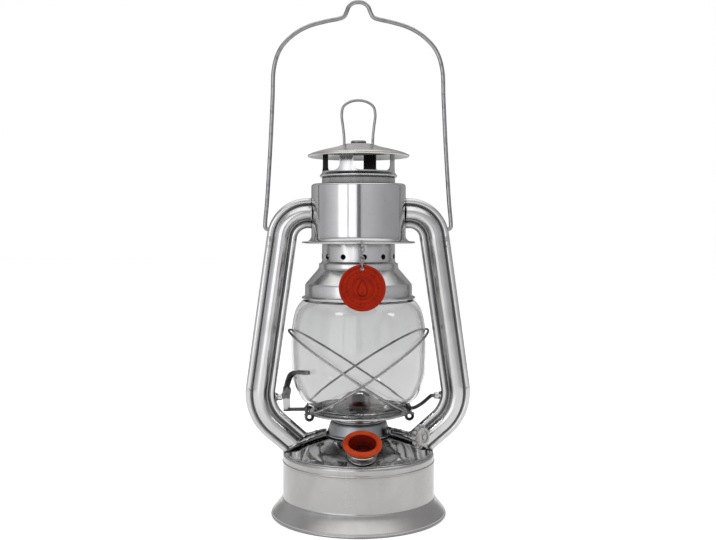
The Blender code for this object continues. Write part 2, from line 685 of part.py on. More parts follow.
def make_air_chamber():
    """Build the burner collar, and the drum that the ducts feed."""
    outer = BURNER_HOLE_RADIUS - GAP
    inner = outer - COLLAR_WALL
    collar = [(inner, COLLAR_TOP), (outer, COLLAR_TOP), (outer, COLLAR_LOW), (inner, COLLAR_LOW)]
    turned("burner_collar", collar, BRASS, MEDIUM_STEPS)
    low = dome_height(CHAMBER_LOW_RADIUS) + GAP
    line = [
        (CHAMBER_HOLE_RADIUS, CHAMBER_TOP), (CHAMBER_HIGH_RADIUS - SHEET, CHAMBER_TOP),
        (CHAMBER_HIGH_RADIUS, CHAMBER_SHOULDER), (CHAMBER_LOW_RADIUS, low + 2 * CHAMBER_LIP),
        (CHAMBER_BASE_RADIUS, low + CHAMBER_LIP), (CHAMBER_BASE_RADIUS, low)]
    chamber = turned("air_chamber", shell(line), DARK_TIN, MEDIUM_STEPS)
    height = FOOT_TOP - low - 3 * SHEET
    middle = Matrix.Translation((0, 0, low + CHAMBER_LIP + SHEET + height / 2))
    width = 2 * TUBE_BORE_DEPTH * FOOT_NARROW_SHARE
    ports = box_mesh("chamber_ports", [((3 * CHAMBER_BASE_RADIUS, width, height), middle)])
    cut(chamber, add_cutter("chamber_ports", ports))
    return chamber


def flat_ring(half_width, half_thickness, height, steps):
    """Return the points of a flat tube's section, with round ends, at a height."""
    points = []
    straight = half_width - half_thickness
    for side in (1, -1):
        for step in range(steps + 1):
            angle = side * -QUARTER + math.pi * side * step / steps if side == 1 else (
                QUARTER + math.pi * step / steps)
            points.append(Vector((side * straight + half_thickness * math.cos(angle),
                                  half_thickness * math.sin(angle), height)))
    return [WICK_PLACE @ point for point in points]


def make_burner():
    """Build the burner's deck, cone and wick tube, with the wick in it."""
    deck_low = CHAMBER_TOP + GAP
    deck_top = deck_low + SHEET
    skirt = BURNER_HOLE_RADIUS - GAP - COLLAR_WALL - GAP
    base = turned("burner_base", [
        (DECK_HOLE_RADIUS, deck_top), (DECK_RADIUS, deck_top), (DECK_RADIUS, deck_low),
        (skirt, deck_low), (skirt, COLLAR_LOW), (skirt - SHEET, COLLAR_LOW),
        (skirt - SHEET, deck_low), (DECK_HOLE_RADIUS, deck_low)], BRASS, MEDIUM_STEPS)
    cone_low = deck_top + GAP
    rise = CONE_TOP_HEIGHT - CONE_SHOULDER_HEIGHT
    line = (
        [(0, CONE_TOP_HEIGHT)]
        + scaled_line(CONE_SHARES, CONE_SKIRT_RADIUS, CONE_SHOULDER_HEIGHT, rise)
        + [(CONE_SKIRT_RADIUS + SHEET / 2, CONE_SHOULDER_HEIGHT - SHEET),
           (CONE_SKIRT_RADIUS, CONE_SHOULDER_HEIGHT - 2 * SHEET),
           (DECK_RADIUS - SHEET, cone_low + SHEET), (DECK_RADIUS - SHEET, cone_low)])
    cone = turned("burner_cone", shell(line), TIN, MEDIUM_STEPS, closed=False)
    slot = Matrix.Translation((0, 0, CONE_TOP_HEIGHT)) @ WICK_PLACE
    size = (CONE_SLOT_LENGTH, CONE_SLOT_WIDTH, 4 * CUT_OVERRUN)
    cut(cone, add_cutter("flame_slot", box_mesh("flame_slot", [(size, slot)])))
    half = (WICK_TUBE_WIDTH / 2, WICK_TUBE_THICKNESS / 2)
    ends = (WICK_TUBE_LOW, WICK_TUBE_TOP)
    outer = [flat_ring(*half, height, 7) for height in ends]
    inner = [flat_ring(half[0] - WICK_TUBE_WALL, half[1] - WICK_TUBE_WALL, height, 3) for height in ends]
    tube = loft("wick_tube", outer, inner, BRASS)
    opening = 2 * WICK_TUBE_WALL + SPUR_THICKNESS
    windows = []
    for side in (-1, 1):
        middle = SHAFT_START + SHAFT_DIRECTION * side * SPUR_SPACING / 2
        middle -= SHAFT_SIDE * (SHAFT_OFFSET - half[1])
        windows.append(((opening, 3 * WICK_TUBE_WALL, 2 * SPUR_RADIUS),
                        Matrix.Translation(middle) @ WICK_PLACE))
    cut(tube, add_cutter("spur_windows", box_mesh("spur_windows", windows)))
    length = WICK_TOP - WICK_LOW
    place = Matrix.Translation((0, 0, WICK_LOW + length / 2)) @ WICK_PLACE
    wick = box_mesh("wick", [((WICK_WIDTH, WICK_THICKNESS, length), Matrix())])
    add_piece("wick", wick, COTTON).matrix_world = place
    return base


def lobed_ring(radius, depth, count, height, steps=2):
    """Return the points of a lobed or toothed outline at a height."""
    total = count * steps
    points = []
    for step in range(total):
        angle = FULL_TURN * step / total
        reach = radius - depth * (0.5 - 0.5 * math.cos(count * angle))
        points.append(Vector((reach * math.cos(angle), reach * math.sin(angle), height)))
    return points


def make_wick_drive(chamber, base):
    """Build the knob, its shaft, the gland and the two spur wheels, and drill what they pass."""
    knob_back = KNOB_DISTANCE - KNOB_THICKNESS / 2
    knob_front = KNOB_DISTANCE + KNOB_THICKNESS / 2
    length = knob_back - GAP - SHAFT_INNER_END
    shaft = rod_mesh("wick_shaft", [(SHAFT_RADIUS, length, Matrix())], SMALL_STEPS // 2)
    add_piece("wick_shaft", shaft, WIRE_STEEL).matrix_world = shaft_place(SHAFT_INNER_END + length / 2)
    flange = knob_back + KNOB_FLANGE
    shoulder = KNOB_FACE_RADIUS - KNOB_FLANGE / 3
    rings = [
        lobed_ring(KNOB_RADIUS - SHEET / 2, KNOB_LOBE_RADIUS, KNOB_LOBES, knob_back),
        lobed_ring(KNOB_RADIUS, KNOB_LOBE_RADIUS, KNOB_LOBES, knob_back + KNOB_FLANGE / 3),
        lobed_ring(KNOB_RADIUS, KNOB_LOBE_RADIUS, KNOB_LOBES, flange - KNOB_FLANGE / 3),
        lobed_ring(KNOB_FACE_RADIUS, 0, KNOB_LOBES, flange),
        lobed_ring(KNOB_FACE_RADIUS, 0, KNOB_LOBES, knob_front - KNOB_FLANGE / 3),
        lobed_ring(shoulder, 0, KNOB_LOBES, knob_front)]
    loft_solid("wick_knob", rings, CLEAR, shaft_place(0))
    gland = [
        (SHAFT_CLEARANCE, GLAND_LENGTH), (GLAND_RADIUS - SHEET, GLAND_LENGTH),
        (GLAND_RADIUS, GLAND_LENGTH - SHEET), (GLAND_RADIUS, 0), (SHAFT_CLEARANCE, 0)]
    turned("shaft_gland", gland, DARK_TIN, SMALL_STEPS, shaft_place(GLAND_DISTANCE))
    for number, side in enumerate((-1, 1), start=1):
        middle = side * SPUR_SPACING / 2
        rings = []
        bores = []
        place = shaft_place(middle - SPUR_THICKNESS / 2)
        for height in (0, SPUR_THICKNESS):
            teeth = lobed_ring(SPUR_RADIUS, SPUR_RADIUS * (1 - SPUR_TOOTH_SHARE), SPUR_TEETH, height, 2)
            bore = lobed_ring(SHAFT_CLEARANCE, 0, SPUR_TEETH, height, 1)
            rings.append([place @ point for point in teeth])
            bores.append([place @ point for point in bore])
        loft(f"spur_wheel_{number}", rings, bores, BRASS)
    middle = shaft_place(GLAND_DISTANCE / 2 + CUT_OVERRUN)
    drill = rod_mesh("shaft_drill", [(SHAFT_CLEARANCE, GLAND_DISTANCE, middle)])
    cutter = add_cutter("shaft_drill", drill)
    for piece in (chamber, base, bpy.data.objects["burner_collar"]):
        cut(piece, cutter)


def make_globe():
    """Build the globe plate, its ears, the glass and the two crossing guard wires."""
    rim_top = PLATE_LOW + PLATE_RIM_HEIGHT
    deck = PLATE_SEAT_HEIGHT - PLATE_RIM_HEIGHT
    plate_line = [
        (PLATE_HOLE_RADIUS, deck), (PLATE_RIDGE_RADIUS - SHEET, deck),
        (PLATE_RIDGE_RADIUS, PLATE_RIDGE_HEIGHT), (PLATE_RIDGE_RADIUS + SHEET, PLATE_RIDGE_HEIGHT),
        (PLATE_LEDGE_INNER, PLATE_SEAT_HEIGHT), (PLATE_LEDGE_OUTER, PLATE_SEAT_HEIGHT),
        (PLATE_LEDGE_OUTER + SHEET, rim_top), (PLATE_RIM_RADIUS - SHEET, rim_top),
        (PLATE_RIM_RADIUS, PLATE_LOW + PLATE_RIM_HEIGHT / 2), (PLATE_RIM_RADIUS - SHEET, PLATE_LOW),
        (PLATE_HOLE_RADIUS, PLATE_LOW)]
    turned("globe_plate", plate_line, TIN)
    low = PLATE_SEAT_HEIGHT + GAP
    glass = scaled_line(GLASS_SHARES, GLASS_MAX_RADIUS, low, GLASS_TOP - low)
    turned("globe", shell(glass, GLASS_WALL), GLASS)
    ear_x = PLATE_RIM_RADIUS + GAP + EAR_THICKNESS / 2
    height = EAR_TOP - EAR_LOW
    for name, side in (("plate_ear_left", -1), ("plate_ear_right", 1)):
        outline = [
            (-EAR_HALF_WIDTH, 0), (EAR_HALF_WIDTH, 0), (EAR_HALF_WIDTH, height / 2),
            (EAR_HALF_WIDTH / 2, height), (-EAR_HALF_WIDTH / 2, height), (-EAR_HALF_WIDTH, height / 2)]
        place = Matrix.Translation((side * ear_x, 0, EAR_LOW)) @ Matrix(
            ((0, 0, 1, 0), (1, 0, 0, 0), (0, 1, 0, 0), (0, 0, 0, 1)))
        plate(name, outline, EAR_THICKNESS, TIN, place)
    end_x = ear_x + EAR_THICKNESS / 2 + GAP + GUARD_WIRE_RADIUS
    end_radius = math.hypot(end_x, GUARD_END_HALF)
    end_angle = math.pi - math.atan2(GUARD_END_HALF, end_x)
    for name, side, step in (("guard_wire_inner", 1, 0), ("guard_wire_outer", -1, GUARD_STEP)):
        points = []
        for angle in np.linspace(-end_angle, end_angle, GUARD_POINTS):
            turn = max(abs(angle) - GUARD_TURN_IN, 0) / (end_angle - GUARD_TURN_IN)
            ease = turn * turn * (3 - 2 * turn)
            plan = GUARD_PLAN_RADIUS + step * math.sin(angle) ** 2
            radius = plan + ease * (end_radius - plan)
            along = radius * math.cos(angle)
            height = GUARD_CENTRE_HEIGHT + GUARD_SLOPE_SHARE * along
            points.append((side * along, radius * math.sin(angle), height))
        wire(name, points, GUARD_WIRE_RADIUS, WIRE_STEEL, resolution=1)


def tube_section():
    """Return the outer outline of a side tube: a deep middle lobe with a bead on each side."""
    bead = TUBE_HALF_WIDTH - TUBE_BEAD_HALF_WIDTH
    quadrant = [(TUBE_HALF_WIDTH, 0)]
    for angle in (math.radians(50), math.radians(105)):
        quadrant.append((bead + TUBE_BEAD_HALF_WIDTH * math.cos(angle), TUBE_BEAD_DEPTH * math.sin(angle)))
    quadrant.append((TUBE_LOBE_HALF_WIDTH, TUBE_GROOVE_DEPTH))
    for angle in (math.radians(32), math.radians(60)):
        quadrant.append((TUBE_LOBE_HALF_WIDTH * math.cos(angle), TUBE_LOBE_DEPTH * math.sin(angle)))
    top = quadrant + [(0, TUBE_LOBE_DEPTH)] + [(-across, up) for across, up in quadrant[::-1]]
    return top + [(across, -up) for across, up in top[-2:0:-1]]


def bore_section():
    """Return the outline of the air way in a side tube, with half as many points."""
    count = len(tube_section()) // 2
    angles = [FULL_TURN * i / count for i in range(count)]
    return [(TUBE_BORE_WIDTH * math.cos(a), TUBE_BORE_DEPTH * math.sin(a)) for a in angles]


def ring_points(side, centre, angle, outline, stretch=1.0, narrow=1.0):
    """Place a section outline across a path in the XZ plane, on one side of the lantern."""
    across = Vector((side * math.cos(angle), 0, math.sin(angle)))
    middle = Vector((side * centre[0], 0, centre[1]))
    return [middle + across * u * stretch + Vector((0, v * narrow, 0)) for u, v in outline]


def straight_x(height):
    """Return where the straight run of a side tube is at a height."""
    return TUBE_STRAIGHT_X + (TUBE_STRAIGHT_Z - height) * math.tan(TUBE_LEAN)


def tube_inner_x(height):
    """Return where the inner side of a side tube is at a height by the lower bend or the straight."""
    if height >= TUBE_BEND_Z:
        return straight_x(height) - TUBE_HALF_WIDTH / math.cos(TUBE_LEAN)
    inner_radius = (straight_x(TUBE_BEND_Z) - TUBE_BEND_X) * math.cos(TUBE_LEAN) - TUBE_HALF_WIDTH
    return TUBE_BEND_X + math.sqrt(inner_radius ** 2 - (TUBE_BEND_Z - height) ** 2)


def tube_path():
    """Return the stations of a side tube, each with its centre and the angle of its outer side."""
    turn = QUARTER - TUBE_LEAN
    elbow_z = TUBE_ENTRY_HEIGHT - TUBE_ELBOW_RADIUS
    elbow_end = elbow_z + TUBE_ELBOW_RADIUS * math.cos(turn)
    elbow_x = straight_x(elbow_end) - TUBE_ELBOW_RADIUS * math.sin(turn)
    stations = [((HOOD_WALL_RADIUS + GAP, TUBE_ENTRY_HEIGHT), QUARTER)]
    for angle in np.linspace(QUARTER, TUBE_LEAN, ELBOW_STATIONS):
        stations.append(((elbow_x + TUBE_ELBOW_RADIUS * math.cos(angle),
                          elbow_z + TUBE_ELBOW_RADIUS * math.sin(angle)), angle))
    bend_radius = (straight_x(TUBE_BEND_Z) - TUBE_BEND_X) * math.cos(TUBE_LEAN)
    for angle in np.linspace(TUBE_LEAN, -TUBE_BEND_TURN, BEND_STATIONS):
        stations.append(((TUBE_BEND_X + bend_radius * math.cos(angle),
                          TUBE_BEND_Z + bend_radius * math.sin(angle)), angle))
    stations.append(((TUBE_END_X, TUBE_END_Z), TUBE_END_CUT))
    return stations


def make_side_tubes():
    """Build both side tubes and the feet that lead their air to the drum."""
    outline = tube_section()
    bore = bore_section()
    stations = tube_path()
    for name, side in (("left", -1), ("right", 1)):
        outer = [ring_points(side, centre, angle, outline) for centre, angle in stations]
        inner = [ring_points(side, centre, angle, bore) for centre, angle in stations]
        tube = loft(f"side_tube_{name}", outer, inner, TIN)
        place = facing((side * (BAIL_END_X + BAIL_HOLE_DEPTH - GAP), 0, BAIL_PIVOT_HEIGHT), (-side, 0, 0))
        hole = rod_mesh(f"bail_hole_{name}", [(BAIL_WIRE_RADIUS + GAP, 2 * BAIL_HOLE_DEPTH, place)])
        cut(tube, add_cutter(f"bail_hole_{name}", hole))
        make_foot(name, side, outline, bore)


def make_foot(name, side, outline, bore):
    """Build the saddle and air duct that runs from a tube's end over the dome to the drum."""
    seat = (TUBE_END_X + GAP * math.sin(TUBE_END_CUT), TUBE_END_Z - GAP * math.cos(TUBE_END_CUT))
    outer = [ring_points(side, seat, TUBE_END_CUT, outline)]
    inner = [ring_points(side, seat, TUBE_END_CUT, bore)]
    stops = (
        (FOOT_OUTER_X, (FOOT_OUTER_TOP_X, FOOT_OUTER_TOP)),
        (FOOT_INNER_X, (FOOT_INNER_TOP_X, FOOT_TOP)),
        (FOOT_END_X, (FOOT_END_TOP_X, FOOT_TOP)))
    for low_x, (top_x, top_z) in stops:
        low_z = dome_height(low_x) + FOOT_LIFT
        centre = ((low_x + top_x) / 2, (low_z + top_z) / 2)
        half = math.hypot(low_x - top_x, low_z - top_z) / 2
        angle = math.atan2(low_z - top_z, low_x - top_x)
        outer.append(ring_points(side, centre, angle, outline, half / TUBE_HALF_WIDTH, FOOT_NARROW_SHARE))
        bore_stretch = (half - SHEET) / TUBE_HALF_WIDTH
        inner.append(ring_points(side, centre, angle, bore, bore_stretch, FOOT_NARROW_SHARE))
    loft(f"tube_foot_{name}", outer, inner, TIN)


def make_hood():
    """Build the hood, with its flange, the two air ports and the hole for the tag's chain."""
    flange_top = HOOD_FLANGE_HEIGHT + HOOD_FLANGE_ROLL / 2
    fillet = (HOOD_WALL_RADIUS + HOOD_FILLET, flange_top + HOOD_FILLET)
    corner = (HOOD_WALL_RADIUS - HOOD_TOP_ROUND, HOOD_TOP - HOOD_TOP_ROUND)
    line = (
        [(CHIMNEY_RADIUS + HOOD_HOLE_GAP, HOOD_TOP)]
        + arc(corner, HOOD_TOP_ROUND, QUARTER, 0)
        + arc(fillet, HOOD_FILLET, math.pi, 3 * QUARTER)
        + [(HOOD_FLANGE_RADIUS - HOOD_FLANGE_ROLL / 3, flange_top),
           (HOOD_FLANGE_RADIUS, flange_top - HOOD_FLANGE_ROLL / 3),
           (HOOD_FLANGE_RADIUS, flange_top - HOOD_FLANGE_ROLL)])
    hood = turned("hood", shell(line), TIN)
    port = (3 * HOOD_WALL_RADIUS, 2 * HOOD_PORT_HALF_WIDTH, 2 * HOOD_PORT_HALF_HEIGHT)
    ports = box_mesh("hood_ports", [(port, Matrix.Translation((0, 0, TUBE_ENTRY_HEIGHT)))])
    cut(hood, add_cutter("hood_ports", ports))
    place = Matrix.Translation((0, -CHAIN_HOLE_OUT, flange_top))
    hole = rod_mesh("chain_hole", [(CHAIN_HOLE_RADIUS, 2 * CUT_OVERRUN, place)], SMALL_STEPS // 2)
    cut(hood, add_cutter("chain_hole", hole))


def make_chimney():
    """Build the globe cap, the chimney tube with its vent holes, the spring and its ring."""
    rim_top = GLOBE_CAP_RIM_LOW + GLOBE_CAP_RIM_HEIGHT
    line = [
        (GLOBE_CAP_CONE_RADIUS, GLOBE_CAP_TOP), (GLOBE_CAP_CONE_RADIUS, GLOBE_CAP_CONE_TOP),
        (GLOBE_CAP_RADIUS, GLOBE_CAP_SHOULDER), (GLOBE_CAP_RADIUS, rim_top),
        (GLOBE_CAP_RIM_RADIUS - SHEET, rim_top),
        (GLOBE_CAP_RIM_RADIUS, rim_top - SHEET / 2), (GLOBE_CAP_RIM_RADIUS, GLOBE_CAP_RIM_LOW)]
    turned("globe_cap", shell(line), TIN)
    flare = CHIMNEY_RADIUS + CHIMNEY_FLARE
    flare_top = GLOBE_CAP_TOP + CHIMNEY_FLARE / 2
    line = [(CHIMNEY_RADIUS, CHIMNEY_TOP), (CHIMNEY_RADIUS, flare_top + CHIMNEY_FLARE), (flare, flare_top),
            (flare, GLOBE_CAP_CONE_TOP + CHIMNEY_FLARE)]
    tube = turned("chimney_tube", shell(line), DARK_TIN, MEDIUM_STEPS)
    holes = []
    for number in range(VENT_HOLES):
        angle = VENT_HOLE_FIRST + FULL_TURN * number / VENT_HOLES
        outward = Vector((math.cos(angle), math.sin(angle), 0))
        start = outward * CHIMNEY_RADIUS + Vector((0, 0, VENT_HOLE_HEIGHT))
        holes.append((VENT_HOLE_RADIUS, CUT_OVERRUN, facing(start, outward)))
    cut(tube, add_cutter("vent_drills", rod_mesh("vent_drills", holes, SMALL_STEPS // 2)))
    bore = CHIMNEY_RADIUS + GAP
    top = SPRING_RING_HEIGHT + SPRING_RING_THICKNESS
    ring = [(bore, top), (SPRING_RING_RADIUS, top), (SPRING_RING_RADIUS, SPRING_RING_HEIGHT),
            (bore, SPRING_RING_HEIGHT)]
    turned("spring_ring", ring, DARK_TIN, MEDIUM_STEPS)
    make_spring(top + GAP + SPRING_WIRE_RADIUS, HOOD_TOP - SHEET - GAP - SPRING_WIRE_RADIUS)


def make_spring(low, high):
    """Wind the chimney spring between two heights, and print the least gap between its turns."""
    total = SPRING_TURNS * SPRING_POINTS
    points = []
    for step in range(total + 1):
        angle = FULL_TURN * step / SPRING_POINTS
        height = low + (high - low) * step / total
        points.append((SPRING_RADIUS * math.cos(angle), SPRING_RADIUS * math.sin(angle), height))
    wire("chimney_spring", points, SPRING_WIRE_RADIUS, WIRE_STEEL, resolution=1)
    places = np.array(points)
    least = min(
        float(np.linalg.norm(places[i + SPRING_POINTS // 2:] - places[i], axis=1).min())
        for i in range(total - SPRING_POINTS // 2))
    print(f"chimney_spring: least gap to itself {least - 2 * SPRING_WIRE_RADIUS:.4f} m")


def make_crown():
    """Build the vent crown, the cap, its collar and the lift ring."""
    sheet_top = value_at(CAP_UNDER_LINE, CROWN_WALL_RADIUS) - GAP
    neck = CROWN_BEAD_RADIUS - CROWN_WALL_RADIUS
    line = [
        (CROWN_WALL_RADIUS, sheet_top), (CROWN_WALL_RADIUS, CROWN_BEAD_HEIGHT + CROWN_BEAD_HALF + neck),
        (CROWN_BEAD_RADIUS, CROWN_BEAD_HEIGHT + CROWN_BEAD_HALF),
        (CROWN_BEAD_RADIUS, CROWN_BEAD_HEIGHT - CROWN_BEAD_HALF), (CROWN_WALL_RADIUS, CROWN_LOW)]
    crown = turned("vent_crown", shell(line), TIN, MEDIUM_STEPS)
    window = 2 * CROWN_WALL_RADIUS * math.sin((QUARTER - CROWN_POST_ANGLE) / 2)
    height = CAP_TOP - CROWN_SILL
    size = (window, 3 * CROWN_WALL_RADIUS, height)
    boxes = []
    for turn in (QUARTER / 2, QUARTER / 2 + QUARTER):
        place = Matrix.Translation((0, 0, CROWN_SILL + height / 2))
        boxes.append((size, place @ Matrix.Rotation(CROWN_FIRST_POST + turn, 4, "Z")))
    for number, box in enumerate(boxes, start=1):
        cut(crown, add_cutter(f"crown_window_{number}", box_mesh(f"crown_window_{number}", [box])))
    cap = turned("cap_disc", CAP_LINE + CAP_UNDER_LINE[::-1], TIN, closed=False)
    foot_x = RING_SHARES[0][0] * RING_HALF_WIDTH
    places = [Matrix.Translation((side * foot_x, 0, RING_FOOT_HEIGHT)) for side in (-1, 1)]
    holes = [(RING_WIRE_RADIUS + GAP, 2 * CUT_OVERRUN, place) for place in places]
    cut(cap, add_cutter("ring_holes", rod_mesh("ring_holes", holes, SMALL_STEPS // 2)))
    low = CAP_TOP + GAP
    outer = CAP_COLLAR_RADIUS
    collar = [(outer - 2 * SHEET, CAP_COLLAR_TOP), (outer - SHEET, CAP_COLLAR_TOP),
              (outer, CAP_COLLAR_TOP - SHEET), (outer, low), (outer - 2 * SHEET, low)]
    turned("cap_collar", collar, TIN, SMALL_STEPS)
    half = [(share * RING_HALF_WIDTH, 0, RING_FOOT_HEIGHT + up * RING_HEIGHT) for share, up in RING_SHARES]
    loop = half + [(-x, y, z) for x, y, z in half[-2::-1]]
    wire("lift_ring", smooth_path(loop, 2), RING_WIRE_RADIUS, WIRE_STEEL)


def make_lever():
    """Build the crank rod, the lever plate, the handle and the two pivot eyes."""
    pivot = LEVER_PIVOT_HEIGHT
    low = pivot - ROD_DROP
    eye_end = tube_inner_x(pivot) - EYE_CLEARANCE
    pivot_end = eye_end - PIVOT_CLEARANCE
    inner_x = LEVER_PLATE_X - LEVER_PLATE_THICKNESS / 2 - GAP
    middle_x = (ROD_BEND_START + ROD_BEND_END) / 2
    bend = [
        (ROD_BEND_START - ROD_RADIUS * 2, ROD_BACK, low), (ROD_BEND_START, ROD_BACK, low),
        (middle_x, ROD_BACK / 2, low + ROD_DROP / 2), (ROD_BEND_END, 0, pivot),
        (ROD_BEND_END + 2 * ROD_RADIUS, 0, pivot)]
    points = [(-inner_x, ROD_BACK, low), (0, ROD_BACK, low)]
    points += [tuple(p) for p in smooth_path(bend, 3)] + [(pivot_end, 0, pivot)]
    wire("crank_rod", points, ROD_RADIUS, WIRE_STEEL)
    tilt = math.atan2(-ROD_DROP, ROD_BACK)
    reach = math.hypot(ROD_BACK, ROD_DROP)
    half = LEVER_PLATE_HALF_WIDTH
    outline = (
        [(half * math.cos(a), half * math.sin(a)) for a in np.linspace(QUARTER, 3 * QUARTER, 7)]
        + [(reach + half * math.cos(a), half * math.sin(a)) for a in np.linspace(-QUARTER, QUARTER, 7)])
    along = Vector((0, math.cos(tilt), math.sin(tilt)))
    across = Vector((0, -math.sin(tilt), math.cos(tilt)))
    axes = Matrix((along, across, along.cross(across))).transposed().to_4x4()
    place = Matrix.Translation((-LEVER_PLATE_X, 0, pivot)) @ axes
    plate("lever_plate", outline, LEVER_PLATE_THICKNESS, TIN, place)
    pin_start = -(LEVER_PLATE_X + LEVER_PLATE_THICKNESS / 2 + GAP)
    length = pivot_end + pin_start
    middle = (pin_start - length / 2, 0, pivot)
    pin = rod_mesh("lever_pin", [(ROD_RADIUS, length, facing(middle, (1, 0, 0)))], SMALL_STEPS // 2)
    add_piece("lever_pin", pin, WIRE_STEEL)
    for name, side in (("lever_bracket_left", -1), ("pivot_eye_right", 1)):
        eye = [(ROD_RADIUS + GAP, EYE_LENGTH), (EYE_OUTER_RADIUS, EYE_LENGTH), (EYE_OUTER_RADIUS, 0),
               (ROD_RADIUS + GAP, 0)]
        start = (side * (eye_end - EYE_LENGTH), 0, pivot)
        turned(name, eye, DARK_TIN, SMALL_STEPS, facing(start, (side, 0, 0)))


def make_handle():
    """Bend the handle from the top of the lever plate, forward and inward to its tip."""
    start = Vector((-HANDLE_FOOT_X, 0, LEVER_PIVOT_HEIGHT + LEVER_PLATE_HALF_WIDTH + GAP + HANDLE_RADIUS))
    tip = Vector((-HANDLE_TIP_X, -HANDLE_TIP_FRONT, HANDLE_TIP_HEIGHT))
    route = []
    for across, forward, up in HANDLE_SHARES:
        route.append((start.x + (tip.x - start.x) * across, start.y + (tip.y - start.y) * forward,
                      start.z + (tip.z - start.z) * up))
    wire("lever_handle", smooth_path(route, 3), HANDLE_RADIUS, TIN)


def make_bail():
    """Bend the bail, with its hump at the top and a hooked end in each side tube's bead."""
    half = [(-x * BAIL_LEG_X, 0, BAIL_PIVOT_HEIGHT + up * BAIL_RISE) for x, up in BAIL_SHARES[::-1]]
    path = half + [(-x, y, z) for x, y, z in half[-2::-1]]
    corner = (BAIL_LEG_X - BAIL_BEND_RADIUS, BAIL_PIVOT_HEIGHT + BAIL_BEND_RADIUS)
    hook = [(BAIL_END_X, 0, BAIL_PIVOT_HEIGHT)]
    hook += [(x, 0, z) for x, z in arc(corner, BAIL_BEND_RADIUS, -QUARTER, 0)]
    left = [(-x, y, z) for x, y, z in hook]
    wire("bail", left + path + hook[::-1], BAIL_WIRE_RADIUS, WIRE_STEEL)


def oval(half_width, half_length, points):
    """Return an oval loop's points, with round ends, about its middle."""
    straight = half_length - half_width
    loop = []
    for step in range(points):
        angle = FULL_TURN * (step + 0.5) / points
        shift = math.copysign(straight, math.sin(angle))
        loop.append((half_width * math.cos(angle), half_width * math.sin(angle) + shift))
    return loop


def make_tag():
    """Build the tag and the chain of links that it hangs on, from the hood's flange."""
    for number in range(LINKS):
        width = HOOK_HALF_WIDTH if number in (0, LINKS - 1) else LINK_HALF_WIDTH
        place = TAG_PLACE if number else Matrix.Translation(HOOK_TOP)
        down = -LINK_HALF_LENGTH - LINK_PITCH * max(number - 1, 0)
        points = []
        for across, up in oval(width, LINK_HALF_LENGTH, LINK_POINTS):
            flat = (across, 0) if number % 2 else (0, across)
            points.append(place @ Vector((*flat, down + up)))
        wire(f"chain_link_{number + 1}", points, LINK_WIRE_RADIUS, WIRE_STEEL, closed=True, resolution=1)
    wire_low = -2 * LINK_HALF_LENGTH - LINK_PITCH * (LINKS - 2)
    hole = wire_low + LINK_WIRE_RADIUS + 2 * GAP - TAG_HOLE_RADIUS
    centre = hole + TAG_HOLE_INSET - TAG_RADIUS
    half = TAG_THICKNESS / 2
    inner = TAG_RADIUS - TAG_RIM
    ring = inner / 2
    outline = [
        (0, half - TAG_RELIEF), (ring - TAG_RIM / 2, half - TAG_RELIEF), (ring, half),
        (ring + TAG_RIM / 2, half - TAG_RELIEF), (inner - TAG_RELIEF, half - TAG_RELIEF), (inner, half),
        (TAG_RADIUS - TAG_RELIEF, half), (TAG_RADIUS, half - TAG_RELIEF),
        (TAG_RADIUS, -half + TAG_RELIEF), (TAG_RADIUS - TAG_RELIEF, -half), (0, -half)]
    face = TAG_PLACE @ Matrix.Translation((0, 0, centre)) @ Matrix.Rotation(QUARTER, 4, "X")
    tag = turned("tag_disc", outline, RED, MEDIUM_STEPS + 2, face, closed=False)
    place = TAG_PLACE @ Matrix.Translation((0, 0, hole)) @ Matrix.Rotation(QUARTER, 4, "X")
    drill = rod_mesh("tag_hole", [(TAG_HOLE_RADIUS, CUT_OVERRUN, place)])
    cut(tag, add_cutter("tag_hole", drill))


def hang(name, place, nodes):
    """Parent the pieces of a moving body to an empty on its joint's axis."""
    pivot = bpy.data.objects.new(name, None)
    pivot.location = place
    PARTS.objects.link(pivot)
    for node in nodes:
        piece = bpy.data.objects[node]
        piece.parent = pivot
        piece.matrix_parent_inverse = Matrix.Translation(-Vector(place))


def hang_all():
    """Put an empty on every joint's axis."""
    lever_axis = (0, 0, LEVER_PIVOT_HEIGHT)
    links = [f"chain_link_{number + 1}" for number in range(1, LINKS)]
    carried = ["globe", "plate_ear_left", "plate_ear_right", "guard_wire_inner", "guard_wire_outer"]
    chimney = ["chimney_tube", "globe_cap", "spring_ring", "chimney_spring", "vent_crown"]
    hang("bail_axis", (0, 0, BAIL_PIVOT_HEIGHT), ["bail"])
    hang("globe_axis", (0, 0, PLATE_LOW), ["globe_plate"] + carried)
    hang("lever_axis", lever_axis, ["crank_rod", "lever_plate", "lever_pin", "lever_handle"])
    hang("chimney_axis", (0, 0, GLOBE_CAP_TOP), chimney + ["cap_disc", "cap_collar", "lift_ring"])
    hang("wick_axis", (0, 0, WICK_TOP), ["wick"])
    hang("shaft_axis", SHAFT_START, ["wick_knob", "wick_shaft", "spur_wheel_1", "spur_wheel_2"])
    hang("cap_axis", FILLER_BASE, ["fuel_cap", "cap_gasket"])
    hang("tag_axis", TAG_TOP, ["tag_disc"] + links)


def main():
    """Build every sub-part in order."""
    make_tank()
    make_filler()
    chamber = make_air_chamber()
    base = make_burner()
    make_wick_drive(chamber, base)
    make_globe()
    make_side_tubes()
    make_hood()
    make_chimney()
    make_crown()
    make_lever()
    make_handle()
    make_bail()
    make_tag()
    hang_all()


main()
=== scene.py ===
"""Small hurricane lantern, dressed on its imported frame.  Metres, +Z up, the front faces -Y."""

import logging
import math
from dataclasses import dataclass
from enum import Enum
from typing import Iterable, Sequence

import bmesh
import bpy
from mathutils import Matrix, Vector


